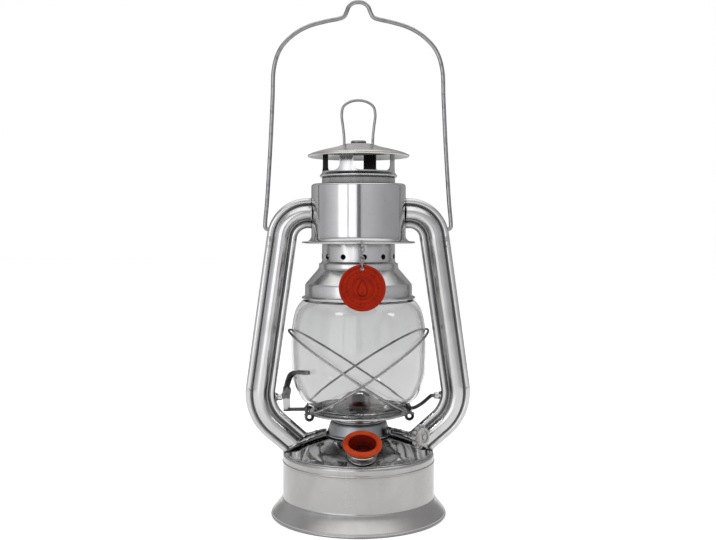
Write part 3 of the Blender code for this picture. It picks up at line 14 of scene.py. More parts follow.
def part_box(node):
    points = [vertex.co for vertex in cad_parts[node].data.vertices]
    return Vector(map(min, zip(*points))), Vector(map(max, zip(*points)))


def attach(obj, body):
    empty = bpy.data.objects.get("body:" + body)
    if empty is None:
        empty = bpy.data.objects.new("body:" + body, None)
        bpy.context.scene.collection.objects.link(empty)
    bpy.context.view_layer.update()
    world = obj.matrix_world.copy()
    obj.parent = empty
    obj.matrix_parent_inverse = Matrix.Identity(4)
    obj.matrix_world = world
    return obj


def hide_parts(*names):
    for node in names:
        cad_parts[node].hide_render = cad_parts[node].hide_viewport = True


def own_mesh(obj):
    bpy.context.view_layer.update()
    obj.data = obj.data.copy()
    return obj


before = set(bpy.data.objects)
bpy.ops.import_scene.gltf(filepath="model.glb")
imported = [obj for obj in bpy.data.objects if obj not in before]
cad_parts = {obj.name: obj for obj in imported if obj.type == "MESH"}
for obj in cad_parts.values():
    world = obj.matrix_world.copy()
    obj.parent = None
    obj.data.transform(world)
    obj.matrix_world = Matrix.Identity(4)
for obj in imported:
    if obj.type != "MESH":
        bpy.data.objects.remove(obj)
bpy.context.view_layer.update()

LOG = logging.getLogger("lantern")
Piece = bpy.types.Object
Material = bpy.types.Material
Socket = bpy.types.NodeSocket
Colour = tuple[float, float, float, float]
Outline = list[tuple[float, float]]
Pairs = Sequence[tuple[float, float]]
Path = list[Vector]
SHEET = 0.0008
GAP = 0.0003
QUARTER = math.pi / 2
FULL = 2 * math.pi
LARGE_STEPS = 160
FINE_STEPS = 128
SMALL_STEPS = 96
SIDES = (("left", -1), ("right", 1))
FACES = (("front", -1), ("back", 1))
STANDING = Matrix.Rotation(QUARTER, 4, "X")
SIDEWAYS = Matrix(((0, 0, 1, 0), (1, 0, 0, 0), (0, 1, 0, 0), (0, 0, 0, 1)))


class Body(Enum):
    """The rigid bodies that pieces ride on."""

    FRAME = "frame"
    CARRIAGE = "globe_carriage"
    CHIMNEY = "chimney"
    LEVER = "lift_lever"
    WICK_DRIVE = "wick_drive"
    WICK = "wick"
    CAP_CARRIER = "cap_carrier"
    CAP = "cap"
    TAG = "tag"
    BAIL = "bail"


# Finishes


class Tree:
    """A node tree, with short ways to add and join nodes."""

    def __init__(self, tree: bpy.types.NodeTree) -> None:
        """Take up a tree.

        Args:
            tree: The tree.
        """
        self.tree = tree

    def put(self, node: bpy.types.Node, name: str | int, value: object) -> None:
        """Set an input to a value, or join it to another node's socket.

        Args:
            node: The node that has the input.
            name: The input's name or number.
            value: A plain value or a socket.
        """
        if isinstance(value, Socket):
            self.tree.links.new(value, node.inputs[name])
        else:
            node.inputs[name].default_value = value

    def add(self, kind: str, inputs: dict | None = None, **settings: object) -> bpy.types.Node:
        """Add a node.

        Args:
            kind: The node's type.
            inputs: Values or sockets by input name or number.
            **settings: The node's own settings.

        Returns:
            The new node.
        """
        node = self.tree.nodes.new(kind)
        for key, value in settings.items():
            setattr(node, key, value)
        for key, value in (inputs or {}).items():
            self.put(node, key, value)
        return node

    def maths(self, operation: str, *values: object) -> Socket:
        """Return the result of a sum on numbers or sockets."""
        return self.add("ShaderNodeMath", dict(enumerate(values)), operation=operation).outputs[0]

    def span(self, value: Socket, low: float, high: float, start: float = 0.0, end: float = 1.0) -> Socket:
        """Map a value from one range to another, held inside it.

        Args:
            value: The value to map.
            low: Where the old range starts.
            high: Where the old range ends.
            start: The new range's start.
            end: The new range's end.

        Returns:
            The mapped value's socket.
        """
        return self.add("ShaderNodeMapRange", {0: value, 1: low, 2: high, 3: start, 4: end}).outputs[0]

    def flat(self, place: Socket) -> Socket:
        """Return a place without its height."""
        level = self.add("ShaderNodeVectorMath", {0: place, 1: (1.0, 1.0, 0.0)}, operation="MULTIPLY")
        return level.outputs[0]

    def seen(self) -> Socket:
        """Return 1 for camera, glossy and transmission rays, and 0 for the rest."""
        rays = self.add("ShaderNodeLightPath").outputs
        seen = self.maths("MAXIMUM", rays["Is Camera Ray"], rays["Is Glossy Ray"])
        return self.maths("MAXIMUM", seen, rays["Is Transmission Ray"])


class Shader(Tree):
    """A material's node tree."""

    def __init__(self, name: str) -> None:
        """Start a Principled material.

        Args:
            name: The material's name.
        """
        self.material = bpy.data.materials.new(name)
        self.material.use_nodes = True
        super().__init__(self.material.node_tree)
        self.surface = self.tree.nodes["Principled BSDF"]
        self.place = self.add("ShaderNodeTexCoord").outputs["Object"]

    def noise(self, scale: float, detail: float, stretch: Sequence[float] = (1, 1, 1),
              warp: float = 0.0) -> Socket:
        """Return a noise value on Object coordinates.

        Args:
            scale: Waves in a metre.
            detail: Octaves of the noise.
            stretch: Scale of each axis.
            warp: Distortion of the noise.

        Returns:
            The noise's factor socket.
        """
        mapping = self.add("ShaderNodeMapping", {"Vector": self.place, "Scale": tuple(stretch)})
        texture = self.add("ShaderNodeTexNoise", {
            "Vector": mapping.outputs[0], "Scale": scale, "Detail": detail, "Distortion": warp})
        return texture.outputs[0]

    def mix(self, share: object, first: object, second: object) -> Socket:
        """Mix two colours.

        Args:
            share: How much of the second colour there is.
            first: A colour or a socket.
            second: A colour or a socket.

        Returns:
            The mixed colour's socket.
        """
        node = self.add("ShaderNodeMix", {0: share, 6: first, 7: second}, data_type="RGBA")
        return node.outputs[2]

    def paint_corner_shade(self, tint: Socket, dark: Colour, distance: float, low: float, high: float) -> Socket:
        """Paint shade into a colour in corners and creases, by ambient occlusion.

        Args:
            tint: The colour.
            dark: What it turns to where no light gets in.
            distance: How far off a neighbour still shades, in metres.
            low: How open a fully dark place is.
            high: How open a clean place is.

        Returns:
            The shaded colour's socket.
        """
        open_share = self.add("ShaderNodeAmbientOcclusion", {"Distance": distance}, samples=6).outputs[1]
        return self.mix(self.span(open_share, low, high), dark, tint)

    def bump(self, height: Socket, distance: float, normal: Socket | None = None) -> Socket:
        """Raise the surface by a height.

        Args:
            height: The height, from 0 to 1.
            distance: How far 1 stands out, in metres.
            normal: A bump below this one.

        Returns:
            The bent normal's socket.
        """
        inputs = {"Height": height, "Distance": distance, "Strength": 1.0}
        if normal is not None:
            inputs["Normal"] = normal
        return self.add("ShaderNodeBump", inputs).outputs[0]

    def finish(self, inputs: dict) -> Material:
        """Set the surface's own inputs.

        Args:
            inputs: Values or sockets by input name.

        Returns:
            The finished material.
        """
        for key, value in inputs.items():
            self.put(self.surface, key, value)
        return self.material


def colour(red: float, green: float, blue: float) -> Colour:
    """Return an opaque linear colour."""
    return (red, green, blue, 1.0)


def grey(tone: float) -> Colour:
    """Return an opaque linear grey."""
    return colour(tone, tone, tone)


@dataclass(frozen=True)
class SheetMetal:
    """Bright or dull plated sheet, with haze, faint stains, rolling lines, small dents and painted shade in
    its corners.
    """

    name: str
    light: Colour = grey(0.47)
    stain: Colour = colour(0.37, 0.355, 0.34)
    smooth: float = 0.16
    hazy: float = 0.30
    # How far, and to what grey, painted shade darkens corners and creases.
    corner_shade_reach: float = 0.0040
    corner_shade_tone: float = 0.07
    dent: float = 0.00030
    grain: float = 0.000006
    grain_scale: float = 900.0
    stretch: tuple[float, float, float] = (1.0, 1.0, 0.12)

    def material(self) -> Material:
        """Build the material.

        Returns:
            The finished material.
        """
        shader = Shader(self.name)
        cloud = shader.noise(38.0, 4.0, warp=0.6)
        specks = shader.noise(620.0, 2.0)
        streak = shader.noise(170.0, 3.0, self.stretch)
        tint = shader.mix(shader.span(cloud, 0.45, 0.80, 0.0, 0.75), self.light, self.stain)
        tint = shader.mix(shader.span(specks, 0.66, 0.80, 0.0, 0.35), tint, colour(0.20, 0.19, 0.18))
        # Painted shade: the colour darkens towards a grey in corners and creases.
        tint = shader.paint_corner_shade(tint, grey(self.corner_shade_tone), self.corner_shade_reach, 0.40, 0.95)
        rough = shader.span(streak, 0.30, 0.75, self.smooth, self.hazy)
        dents = shader.bump(shader.noise(26.0, 2.0), self.dent)
        grain = shader.bump(shader.noise(self.grain_scale, 2.0, self.stretch), self.grain, dents)
        return shader.finish({"Base Color": tint, "Metallic": 1.0, "Roughness": rough, "Normal": grain})


@dataclass(frozen=True)
class DrawnWire:
    """Bright drawn steel wire with long die lines and darker spots."""

    name: str
    light: Colour
    dark: Colour
    rough: float = 0.20

    def material(self) -> Material:
        """Build the material.

        Returns:
            The finished material.
        """
        shader = Shader(self.name)
        spots = shader.noise(240.0, 4.0, warp=0.4)
        lines = shader.noise(1500.0, 2.0, (1.0, 1.0, 0.08))
        tint = shader.mix(shader.span(spots, 0.50, 0.78, 0.0, 0.8), self.light, self.dark)
        rough = shader.span(spots, 0.30, 0.80, self.rough, self.rough + 0.16)
        normal = shader.bump(lines, 0.000012)
        return shader.finish({
            "Base Color": tint, "Metallic": 1.0, "Roughness": rough, "Normal": normal,
            "Specular Tint": grey(0.45)})


@dataclass(frozen=True)
class Enamel:
    """Red enamel over metal: uneven, slightly orange-peeled, darker where it pooled."""

    name: str
    light: Colour
    dark: Colour
    rough: float

    def material(self) -> Material:
        """Build the material.

        Returns:
            The finished material.
        """
        shader = Shader(self.name)
        pool = shader.noise(210.0, 4.0, warp=0.5)
        peel = shader.noise(900.0, 2.0)
        tint = shader.mix(shader.span(pool, 0.42, 0.76, 0.0, 0.8), self.light, self.dark)
        # Painted shade: the enamel darkens to deep red in corners and creases.
        tint = shader.paint_corner_shade(tint, colour(0.07, 0.003, 0.001), 0.0015, 0.62, 0.99)
        rough = shader.span(pool, 0.30, 0.75, self.rough, self.rough + 0.18)
        normal = shader.bump(peel, 0.000030)
        return shader.finish({
            "Base Color": tint, "Roughness": rough, "Normal": normal, "Specular IOR Level": 0.09})


@dataclass(frozen=True)
class Clear:
    """Clear glass or resin, with faint waves, and painted shade in its corners where a reach is given."""

    name: str
    tint: Colour
    deep: Colour
    rough: float = 0.0
    wave: float = 0.00006
    wave_scale: float = 30.0
    ior: float = 1.47
    through: float = 1.0
    corner_shade_reach: float = 0.0

    def material(self) -> Material:
        """Build the material.

        Returns:
            The finished material.
        """
        shader = Shader(self.name)
        waves = shader.noise(self.wave_scale, 2.0, (1.0, 1.0, 0.6))
        tint = shader.mix(waves, self.tint, self.deep)
        # Painted shade: where a reach is given, the resin darkens in corners and creases.
        if self.corner_shade_reach:
            tint = shader.paint_corner_shade(tint, colour(0.10, 0.10, 0.09), self.corner_shade_reach, 0.45, 0.95)
        normal = shader.bump(waves, self.wave)
        return shader.finish({
            "Base Color": tint, "Roughness": self.rough, "Transmission Weight": self.through,
            "IOR": self.ior, "Normal": normal})


@dataclass(frozen=True)
class Woven:
    """Flat cotton webbing, with its threads and a charred end above a height."""

    name: str
    light: Colour = colour(0.74, 0.70, 0.60)
    shade: Colour = colour(0.42, 0.38, 0.30)
    char_height: float = 0.0765

    def material(self) -> Material:
        """Build the material.

        Returns:
            The finished material.
        """
        shader = Shader(self.name)
        weave = shader.add("ShaderNodeTexWave", {"Vector": shader.place, "Scale": 260.0, "Distortion": 1.5},
                           bands_direction="Z")
        fuzz = shader.noise(2400.0, 3.0)
        height = shader.add("ShaderNodeSeparateXYZ", {0: shader.place}).outputs[2]
        char = shader.span(height, self.char_height, self.char_height + 0.0015)
        tint = shader.mix(weave.outputs[1], self.light, self.shade)
        tint = shader.mix(char, tint, colour(0.02, 0.018, 0.016))
        normal = shader.bump(fuzz, 0.0001, shader.bump(weave.outputs[1], 0.0002))
        return shader.finish({"Base Color": tint, "Roughness": 0.92, "Normal": normal, "Sheen Weight": 0.2})


@dataclass(frozen=True)
class SoftRubber:
    """Dull rubber or fibre for the gasket."""

    name: str
    light: Colour = colour(0.42, 0.20, 0.17)
    dark: Colour = colour(0.26, 0.11, 0.09)

    def material(self) -> Material:
        """Build the material.

        Returns:
            The finished material.
        """
        shader = Shader(self.name)
        mottle = shader.noise(700.0, 4.0)
        tint = shader.mix(mottle, self.light, self.dark)
        return shader.finish({
            "Base Color": tint, "Roughness": 0.75, "Normal": shader.bump(mottle, 0.00004)})


class Finishes:
    """Every finish on the lantern, each built once."""

    def __init__(self) -> None:
        """Build the materials."""
        self.tin = SheetMetal("bright_tinplate").material()
        self.tank = SheetMetal(
            "tank_tinplate", light=colour(0.37, 0.365, 0.36), stain=colour(0.31, 0.295, 0.285), smooth=0.20,
            hazy=0.30, dent=0.00020, stretch=(1.0, 1.0, 0.4), corner_shade_reach=0.0022).material()
        self.dome = SheetMetal(
            "dome_tinplate", light=colour(0.54, 0.535, 0.53), stain=colour(0.32, 0.31, 0.30), smooth=0.08,
            hazy=0.18, dent=0.00028).material()
        # The tube's painted shade in its grooves is a lighter grey than on the other sheet.
        self.tube = SheetMetal(
            "tube_tinplate", light=grey(0.50), smooth=0.15, hazy=0.30, dent=0.00018,
            stretch=(1.0, 1.0, 0.10), corner_shade_reach=0.0018, corner_shade_tone=0.26).material()
        self.hood = SheetMetal(
            "hood_tinplate", light=colour(0.46, 0.455, 0.46), stain=colour(0.38, 0.37, 0.365), smooth=0.07,
            hazy=0.15, dent=0.00012).material()
        self.cap_tin = SheetMetal(
            "weathered_tinplate", light=colour(0.50, 0.49, 0.46), stain=colour(0.26, 0.235, 0.20),
            smooth=0.20, hazy=0.36, dent=0.0006).material()
        self.drum = SheetMetal(
            "satin_zinc", light=colour(0.31, 0.325, 0.34), stain=colour(0.24, 0.25, 0.265), smooth=0.34,
            hazy=0.48, dent=0.0001).material()
        self.dull = SheetMetal(
            "dull_tinplate", light=colour(0.26, 0.26, 0.265), stain=colour(0.15, 0.148, 0.145), smooth=0.26,
            hazy=0.44, dent=0.0002).material()
        # Near-black lining: soot, and painted shade where little light reaches inside.
        self.soot_and_shade = SheetMetal(
            "sooty_lining", light=colour(0.050, 0.046, 0.042), stain=colour(0.018, 0.016, 0.015),
            smooth=0.50, hazy=0.75).material()
        self.solder = SheetMetal(
            "solder", light=grey(0.56), stain=grey(0.32), smooth=0.18, hazy=0.34, dent=0.0006,
            corner_shade_reach=0.0012, grain=0.00006, grain_scale=500.0, stretch=(1, 1, 1)).material()
        self.brass = SheetMetal(
            "burner_brass", light=colour(0.52, 0.38, 0.18), stain=colour(0.30, 0.21, 0.10), smooth=0.24,
            hazy=0.42).material()
        self.wire = DrawnWire("steel_wire", light=colour(0.27, 0.27, 0.275), dark=grey(0.12)).material()
        self.dark_wire = DrawnWire(
            "dark_wire", light=colour(0.125, 0.125, 0.128), dark=grey(0.035), rough=0.24).material()
        self.tag = Enamel(
            "tag_enamel", light=colour(0.40, 0.017, 0.001), dark=colour(0.25, 0.008, 0.001),
            rough=0.34).material()
        self.cap = Enamel(
            "cap_enamel", light=colour(0.58, 0.062, 0.012), dark=colour(0.38, 0.026, 0.004),
            rough=0.26).material()
        # A darker copy of the cap's enamel: painted shade for its hollow.
        self.cap_hollow_shade = Enamel(
            "cap_inside_enamel", light=colour(0.17, 0.008, 0.003), dark=colour(0.06, 0.003, 0.001),
            rough=0.40).material()
        self.glass = Clear("globe_glass", tint=grey(0.705), deep=colour(0.655, 0.658, 0.658)).material()
        self.resin = Clear(
            "knob_resin", tint=colour(0.95, 0.94, 0.90), deep=colour(0.27, 0.26, 0.245), rough=0.04,
            wave=0.00060, wave_scale=520.0, ior=1.49, through=0.3, corner_shade_reach=0.0024).material()
        self.cotton = Woven("wick_cotton").material()
        self.rubber = SoftRubber("gasket_fibre").material()


# Mesh tools


def linked(name: str, data: bpy.types.ID) -> Piece:
    """Link a mesh, a curve, a lamp or a camera as a named object at the origin.

    Args:
        name: The object's name.
        data: What it holds.

    Returns:
        The new object.
    """
    piece = bpy.data.objects.new(name, data)
    bpy.context.scene.collection.objects.link(piece)
    return piece


def from_bmesh(name: str, shape: bmesh.types.BMesh, crease: float = 35.0) -> Piece:
    """Close, orient and smooth a shape, and link it.

    Args:
        name: The piece's name.
        shape: The shape, which is freed.
        crease: Angle in degrees past which an edge stays sharp.

    Returns:
        The new object.
    """
    bmesh.ops.remove_doubles(shape, verts=shape.verts, dist=0.000001)
    bmesh.ops.recalc_face_normals(shape, faces=shape.faces)
    mesh = bpy.data.meshes.new(name)
    shape.to_mesh(mesh)
    shape.free()
    mesh.shade_smooth()
    mesh.set_sharp_from_angle(angle=math.radians(crease))
    return linked(name, mesh)


def smooth(points: Sequence[Sequence[float]], steps: int) -> list:
    """Return a smooth run through points, by Catmull-Rom.

    Args:
        points: The points, in two or three numbers each.
        steps: Steps between two points.

    Returns:
        The points of the run, as tuples.
    """
    knots = [Vector(point) for point in points]
    knots = [2 * knots[0] - knots[1], *knots, 2 * knots[-1] - knots[-2]]
    run = []
    for a, b, c, d in zip(knots, knots[1:], knots[2:], knots[3:]):
        for step in range(steps):
            t = step / steps
            run.append(tuple(0.5 * (2 * b + (c - a) * t + (2 * a - 5 * b + 4 * c - d) * t * t
                                    + (3 * b - a - 3 * c + d) * t * t * t)))
    run.append(tuple(knots[-2]))
    return run


def scaled(shares: Pairs, radius: float, base: float, rise: float) -> Outline:
    """Return an outline from shares of a radius, and of a rise above a base."""
    return [(radius * across, base + rise * up) for across, up in shares]


def mirrored(half: Sequence[Sequence[float]]) -> list:
    """Return a path with its mirror image in X, which starts from its last point."""
    return [*half, *[(-x, y, z) for x, y, z in half[-2::-1]]]


def around(count: int, first: float = 0.0) -> list[float]:
    """Return a number of evenly spaced angles of a full turn, from a first one."""
    return [first + FULL * i / count for i in range(count)]


def arc(centre: Sequence[float], radius: float, start: float, end: float, steps: int) -> Outline:
    """Return points on an arc in the outline's plane.

    Args:
        centre: Its centre.
        radius: Its radius.
        start: The angle where it starts, in radians.
        end: The angle where it ends.
        steps: Its number of steps.

    Returns:
        The points.
    """
    angles = [start + (end - start) * i / steps for i in range(steps + 1)]
    return [(centre[0] + radius * math.cos(a), centre[1] + radius * math.sin(a)) for a in angles]


def rounded(line: Outline, radius: float, steps: int = 4, closed: bool = False) -> Outline:
    """Round an outline's corners.

    Args:
        line: The outline.
        radius: How far from a corner its round starts.
        steps: Steps in each round.
        closed: True when the outline is a loop.

    Returns:
        The new outline.
    """
    count = len(line)
    result: Outline = []
    for i, point in enumerate(line):
        if not closed and i in (0, count - 1):
            result.append(point)
            continue
        corner = Vector(point)
        before = Vector(line[i - 1]) - corner
        after = Vector(line[(i + 1) % count]) - corner
        if min(before.length, after.length) < 1e-7 or abs(before.angle(after) - math.pi) < math.radians(8):
            result.append(point)
            continue
        reach = min(radius, 0.45 * before.length, 0.45 * after.length)
        start = corner + before.normalized() * reach
        end = corner + after.normalized() * reach
        for step in range(steps + 1):
            t = step / steps
            result.append(tuple(start * (1 - t) ** 2 + corner * 2 * t * (1 - t) + end * t * t))
    return result


def offset_line(line: Outline, distance: float) -> Outline:
    """Move an outline to the right hand of its run.

    Args:
        line: The outline, run down the outer side.
        distance: How far it moves.

    Returns:
        The moved outline.
    """
    normals = []
    for (r0, z0), (r1, z1) in zip(line, line[1:]):
        length = math.hypot(r1 - r0, z1 - z0)
        normals.append(Vector(((z1 - z0) / length, (r0 - r1) / length)))
    moved = []
    for i, point in enumerate(line):
        across = normals[max(i - 1, 0)] + normals[min(i, len(normals) - 1)]
        shift = across * (distance * min(2 / across.length, 1.6) / across.length)
        moved.append((max(point[0] + shift.x, 0.0), point[1] + shift.y))
    return moved


def lip(start: Sequence[float], end: Sequence[float], ahead: Vector, steps: int) -> Outline:
    """Return the round edge that joins a sheet's two sides.

    Args:
        start: The end of one side.
        end: The end of the other side.
        ahead: Where the edge points.
        steps: Steps round the edge.

    Returns:
        The points between the two ends.
    """
    middle = (Vector(start) + Vector(end)) / 2
    half = Vector(start) - middle
    out = Vector((-half.y, half.x))
    out = out * (0.6 if out.dot(ahead) > 0 else -0.6)
    angles = [math.pi * i / steps for i in range(1, steps)]
    return [tuple(middle + half * math.cos(a) + out * math.sin(a)) for a in angles]


def sheet(line: Outline, wall: float = SHEET, steps: int = 4) -> Outline:
    """Return the closed outline of a sheet with round edges.

    Args:
        line: The outer side's outline.
        wall: The sheet's thickness.
        steps: Steps round each edge.

    Returns:
        The closed outline.
    """
    inner = offset_line(line, wall)[::-1]
    far = lip(line[-1], inner[0], Vector(line[-1]) - Vector(line[-2]), steps)
    near = lip(inner[-1], line[0], Vector(line[0]) - Vector(line[1]), steps)
    return [*line, *far, *inner, *near]


def band(shape: bmesh.types.BMesh, low: Sequence, high: Sequence) -> None:
    """Join two rings of vertices with faces, where either may be a single vertex.

    Args:
        shape: The shape that they belong to.
        low: The first ring.
        high: The second ring.
    """
    count = max(len(low), len(high))
    for i in range(count):
        j = (i + 1) % count
        corners = [low[i % len(low)], low[j % len(low)], high[j % len(high)], high[i % len(high)]]
        shape.faces.new(list(dict.fromkeys(corners)))


def turned(name: str, outline: Outline, steps: int = FINE_STEPS, place: Matrix | None = None,
           closed: bool = True, crease: float = 35.0) -> Piece:
    """Turn an outline about the Z axis.

    Args:
        name: The piece's name.
        outline: Radius and height of each point.
        steps: Steps in a full turn.
        place: Where the turned axis stands.
        closed: True for a ring, False for an outline that starts and ends on the axis.
        crease: Angle in degrees past which an edge stays sharp.

    Returns:
        The new object.
    """
    shape = bmesh.new()
    turn = place or Matrix()
    rings = []
    for radius, height in outline:
        if radius < 1e-7:
            rings.append([shape.verts.new(turn @ Vector((0, 0, height)))])
            continue
        rings.append([shape.verts.new(turn @ Vector((radius * math.cos(a), radius * math.sin(a), height)))
                      for a in around(steps)])
    if closed:
        rings.append(rings[0])
    for low, high in zip(rings, rings[1:]):
        band(shape, low, high)
    return from_bmesh(name, shape, crease)


def loft(name: str, walls: Sequence[Sequence[Path]], crease: float = 35.0) -> Piece:
    """Join rings of points into a solid, or into a hollow piece when there is an inner wall.

    Args:
        name: The piece's name.
        walls: The outer rings, and the inner ones if the piece is open at both ends.
        crease: Angle in degrees past which an edge stays sharp.

    Returns:
        The new object.
    """
    shape = bmesh.new()
    built = []
    for rings in walls:
        verts = [[shape.verts.new(point) for point in ring] for ring in rings]
        for low, high in zip(verts, verts[1:]):
            band(shape, low, high)
        built.append(verts)
    for end in (0, -1):
        if len(built) == 1:
            shape.faces.new(built[0][end])
        else:
            band(shape, built[0][end], built[1][end])
    return from_bmesh(name, shape, crease)


def facing(start: Sequence[float], direction: Sequence[float]) -> Matrix:
    """Return the placing that stands Z along a direction at a point.

    Args:
        start: Where the origin goes.
        direction: Where Z points.

    Returns:
        The placing.
    """
    turn = Vector(direction).to_track_quat("Z", "Y").to_matrix().to_4x4()
    return Matrix.Translation(Vector(start)) @ turn


def plain(piece: Piece, name: str) -> Piece:
    """Turn an object and its modifiers into a plain mesh at the origin.

    Args:
        piece: The object, which is removed.
        name: The new piece's name.

    Returns:
        The new object.
    """
    bpy.context.view_layer.update()
    graph = bpy.context.evaluated_depsgraph_get()
    mesh = bpy.data.meshes.new_from_object(piece.evaluated_get(graph), depsgraph=graph)
    mesh.transform(piece.matrix_world)
    bpy.data.objects.remove(piece)
    shape = bmesh.new()
    shape.from_mesh(mesh)
    bpy.data.meshes.remove(mesh)
    return from_bmesh(name, shape)


def cut_by(piece: Piece, tools: Iterable[Piece]) -> Piece:
    """Cut tools' shapes out of a piece.

    Args:
        piece: The piece, which is replaced.
        tools: The closed shapes to take away, which are removed.

    Returns:
        The cut piece.
    """
    tools = list(tools)
    for tool in tools:
        boolean = piece.modifiers.new("Cut", "BOOLEAN")
        boolean.object = tool
        boolean.operation = "DIFFERENCE"
        boolean.solver = "EXACT"
    name = piece.name
    piece.name = f"{name}_uncut"
    result = plain(piece, name)
    for tool in tools:
        bpy.data.objects.remove(tool)
    return result


def line_inside(piece: Piece, reach: float, material: Material) -> None:
    """Give the faces that look at the Z axis from within a radius a finish of their own; the script uses it
    for darker inner faces, as painted shade.

    Args:
        piece: The piece, already dressed.
        reach: The radius.
        material: The inner finish.
    """
    piece.data.materials.append(material)
    for face in piece.data.polygons:
        out = Vector((face.center.x, face.center.y, 0))
        if out.length < reach and out.normalized().dot(face.normal) < 0.5 and face.normal.z < 0.5:
            face.material_index = len(piece.data.materials) - 1


def drill(radius: float, start: Sequence[float], direction: Sequence[float], length: float,
          sides: int = 32) -> Piece:
    """Return a round cutting tool.

    Args:
        radius: Its radius.
        start: The middle of its length.
        direction: Where it points.
        length: Its length.
        sides: Its number of sides.

    Returns:
        The tool.
    """
    outline = [(0, -length / 2), (radius, -length / 2), (radius, length / 2), (0, length / 2)]
    return turned("tool", outline, sides, facing(start, direction), closed=False)


def drills_around(angles: Sequence[float], radius: float, out: float, height: float, sides: int,
                  length: float) -> list[Piece]:
    """Return round cutting tools that point at the Z axis.

    Args:
        angles: The angle of each.
        radius: Their radius.
        out: How far their middles are from the axis.
        height: The height that they stand at.
        sides: Their number of sides.
        length: Their length.

    Returns:
        The tools.
    """
    ways = [(math.cos(a), math.sin(a)) for a in angles]
    return [drill(radius, (out * x, out * y, height), (x, y, 0), length, sides) for x, y in ways]


def rod_outline(radius: float, length: float) -> Outline:
    """Return a round rod's outline, from the axis at its start to the axis at its end."""
    return rounded([(0, 0), (radius, 0), (radius, length), (0, length)], 0.0002)


def block(size: Sequence[float], place: Matrix) -> Piece:
    """Return a square-edged cutting tool.

    Args:
        size: Its three sizes.
        place: Where its middle stands.

    Returns:
        The tool.
    """
    shape = bmesh.new()
    bmesh.ops.create_cube(shape, size=1, matrix=place @ Matrix.Diagonal((*size, 1)))
    return from_bmesh("tool", shape)


def path_host(points: Sequence[Sequence[float]], closed: bool = False) -> Piece:
    """Return a curve object along points.

    Args:
        points: The path's points.
        closed: True for a loop.

    Returns:
        The curve object.
    """
    curve = bpy.data.curves.new("path", "CURVE")
    curve.dimensions = "3D"
    spline = curve.splines.new("POLY")
    spline.points.add(len(points) - 1)
    for knot, point in zip(spline.points, points):
        knot.co = (*point, 1)
    spline.use_cyclic_u = closed
    return linked("path", curve)


def plate(name: str, outline: Outline, thickness: float, place: Matrix, edge: float = 0.00015) -> Piece:
    """Cut a flat plate with soft edges.

    Args:
        name: The piece's name.
        outline: Its outline on the placing's XY plane.
        thickness: Its thickness, half to each side.
        place: Its placing.
        edge: The width of its soft edges.

    Returns:
        The new object.
    """
    host = path_host([(across, up, 0) for across, up in outline], True)
    curve = host.data
    curve.dimensions = "2D"
    curve.fill_mode = "BOTH"
    curve.extrude = thickness / 2 - edge
    curve.bevel_depth = edge
    curve.offset = -edge
    curve.bevel_resolution = 2
    host.matrix_world = place
    return plain(host, name)


# Node trees that make what repeats or follows a path


class Recipe(Tree):
    """A Geometry Nodes tree with named sizes, run on a host object."""

    def __init__(self, name: str, sizes: dict[str, float | int | Vector]) -> None:
        """Start the tree.

        Args:
            name: The tree's name.
            sizes: Its named sizes, with their usual values.
        """
        super().__init__(bpy.data.node_groups.new(name, "GeometryNodeTree"))
        face = self.tree.interface
        face.new_socket("Geometry", in_out="INPUT", socket_type="NodeSocketGeometry")
        face.new_socket("Geometry", in_out="OUTPUT", socket_type="NodeSocketGeometry")
        self.keys = {}
        for title, value in sizes.items():
            kind = {int: "NodeSocketInt", float: "NodeSocketFloat"}.get(type(value), "NodeSocketVector")
            socket = face.new_socket(title, in_out="INPUT", socket_type=kind)
            socket.default_value = value
            self.keys[title] = socket.identifier
        socket = face.new_socket("Material", in_out="INPUT", socket_type="NodeSocketMaterial")
        self.keys["Material"] = socket.identifier
        self.inputs = self.tree.nodes.new("NodeGroupInput")

    def size(self, title: str) -> Socket:
        """Return the socket of a named size."""
        return self.inputs.outputs[title]

    def step(self, kind: str, inputs: dict | None = None, **settings: object) -> Socket:
        """Add a node and return its first output."""
        return self.add(kind, inputs, **settings).outputs[0]

    def round(self, sides: object, radius: object) -> Socket:
        """Return a circle as a curve."""
        return self.step("GeometryNodeCurvePrimitiveCircle", {"Resolution": sides, "Radius": radius})

    def wire(self, curve: Socket, radius: object, sides: int) -> Socket:
        """Sweep a round section along a curve.

        Args:
            curve: The curve.
            radius: The section's radius.
            sides: The section's sides.

        Returns:
            The swept mesh.
        """
        section = self.round(sides, radius)
        return self.step("GeometryNodeCurveToMesh", {0: curve, 1: section, "Fill Caps": True})

    def end(self, geometry: Socket) -> "Recipe":
        """Close the tree with Realize Instances and Set Material.

        Args:
            geometry: What the tree has made.

        Returns:
            This recipe.
        """
        real = self.step("GeometryNodeRealizeInstances", {0: geometry})
        dressed = self.step("GeometryNodeSetMaterial", {0: real, "Material": self.size("Material")})
        out = self.tree.nodes.new("NodeGroupOutput")
        self.tree.links.new(dressed, out.inputs[0])
        return self

    def make(self, name: str, host: Piece, material: Material, **sizes: object) -> Piece:
        """Run the tree on a host and return the plain mesh.

        Args:
            name: The new piece's name.
            host: The object that the tree starts from, which is removed.
            material: The piece's finish.
            **sizes: Values of the named sizes.

        Returns:
            The new object.
        """
        modifier = host.modifiers.new("Recipe", "NODES")
        modifier.node_group = self.tree
        modifier[self.keys["Material"]] = material
        for title, value in sizes.items():
            modifier[self.keys[title]] = value
        host.name = f"{name}_host"
        piece = plain(host, name)
        piece.data.materials.append(material)
        return piece


def empty_host() -> Piece:
    """Return a mesh object with nothing in it, for a recipe that starts from its own shapes."""
    return linked("host", bpy.data.meshes.new("host"))


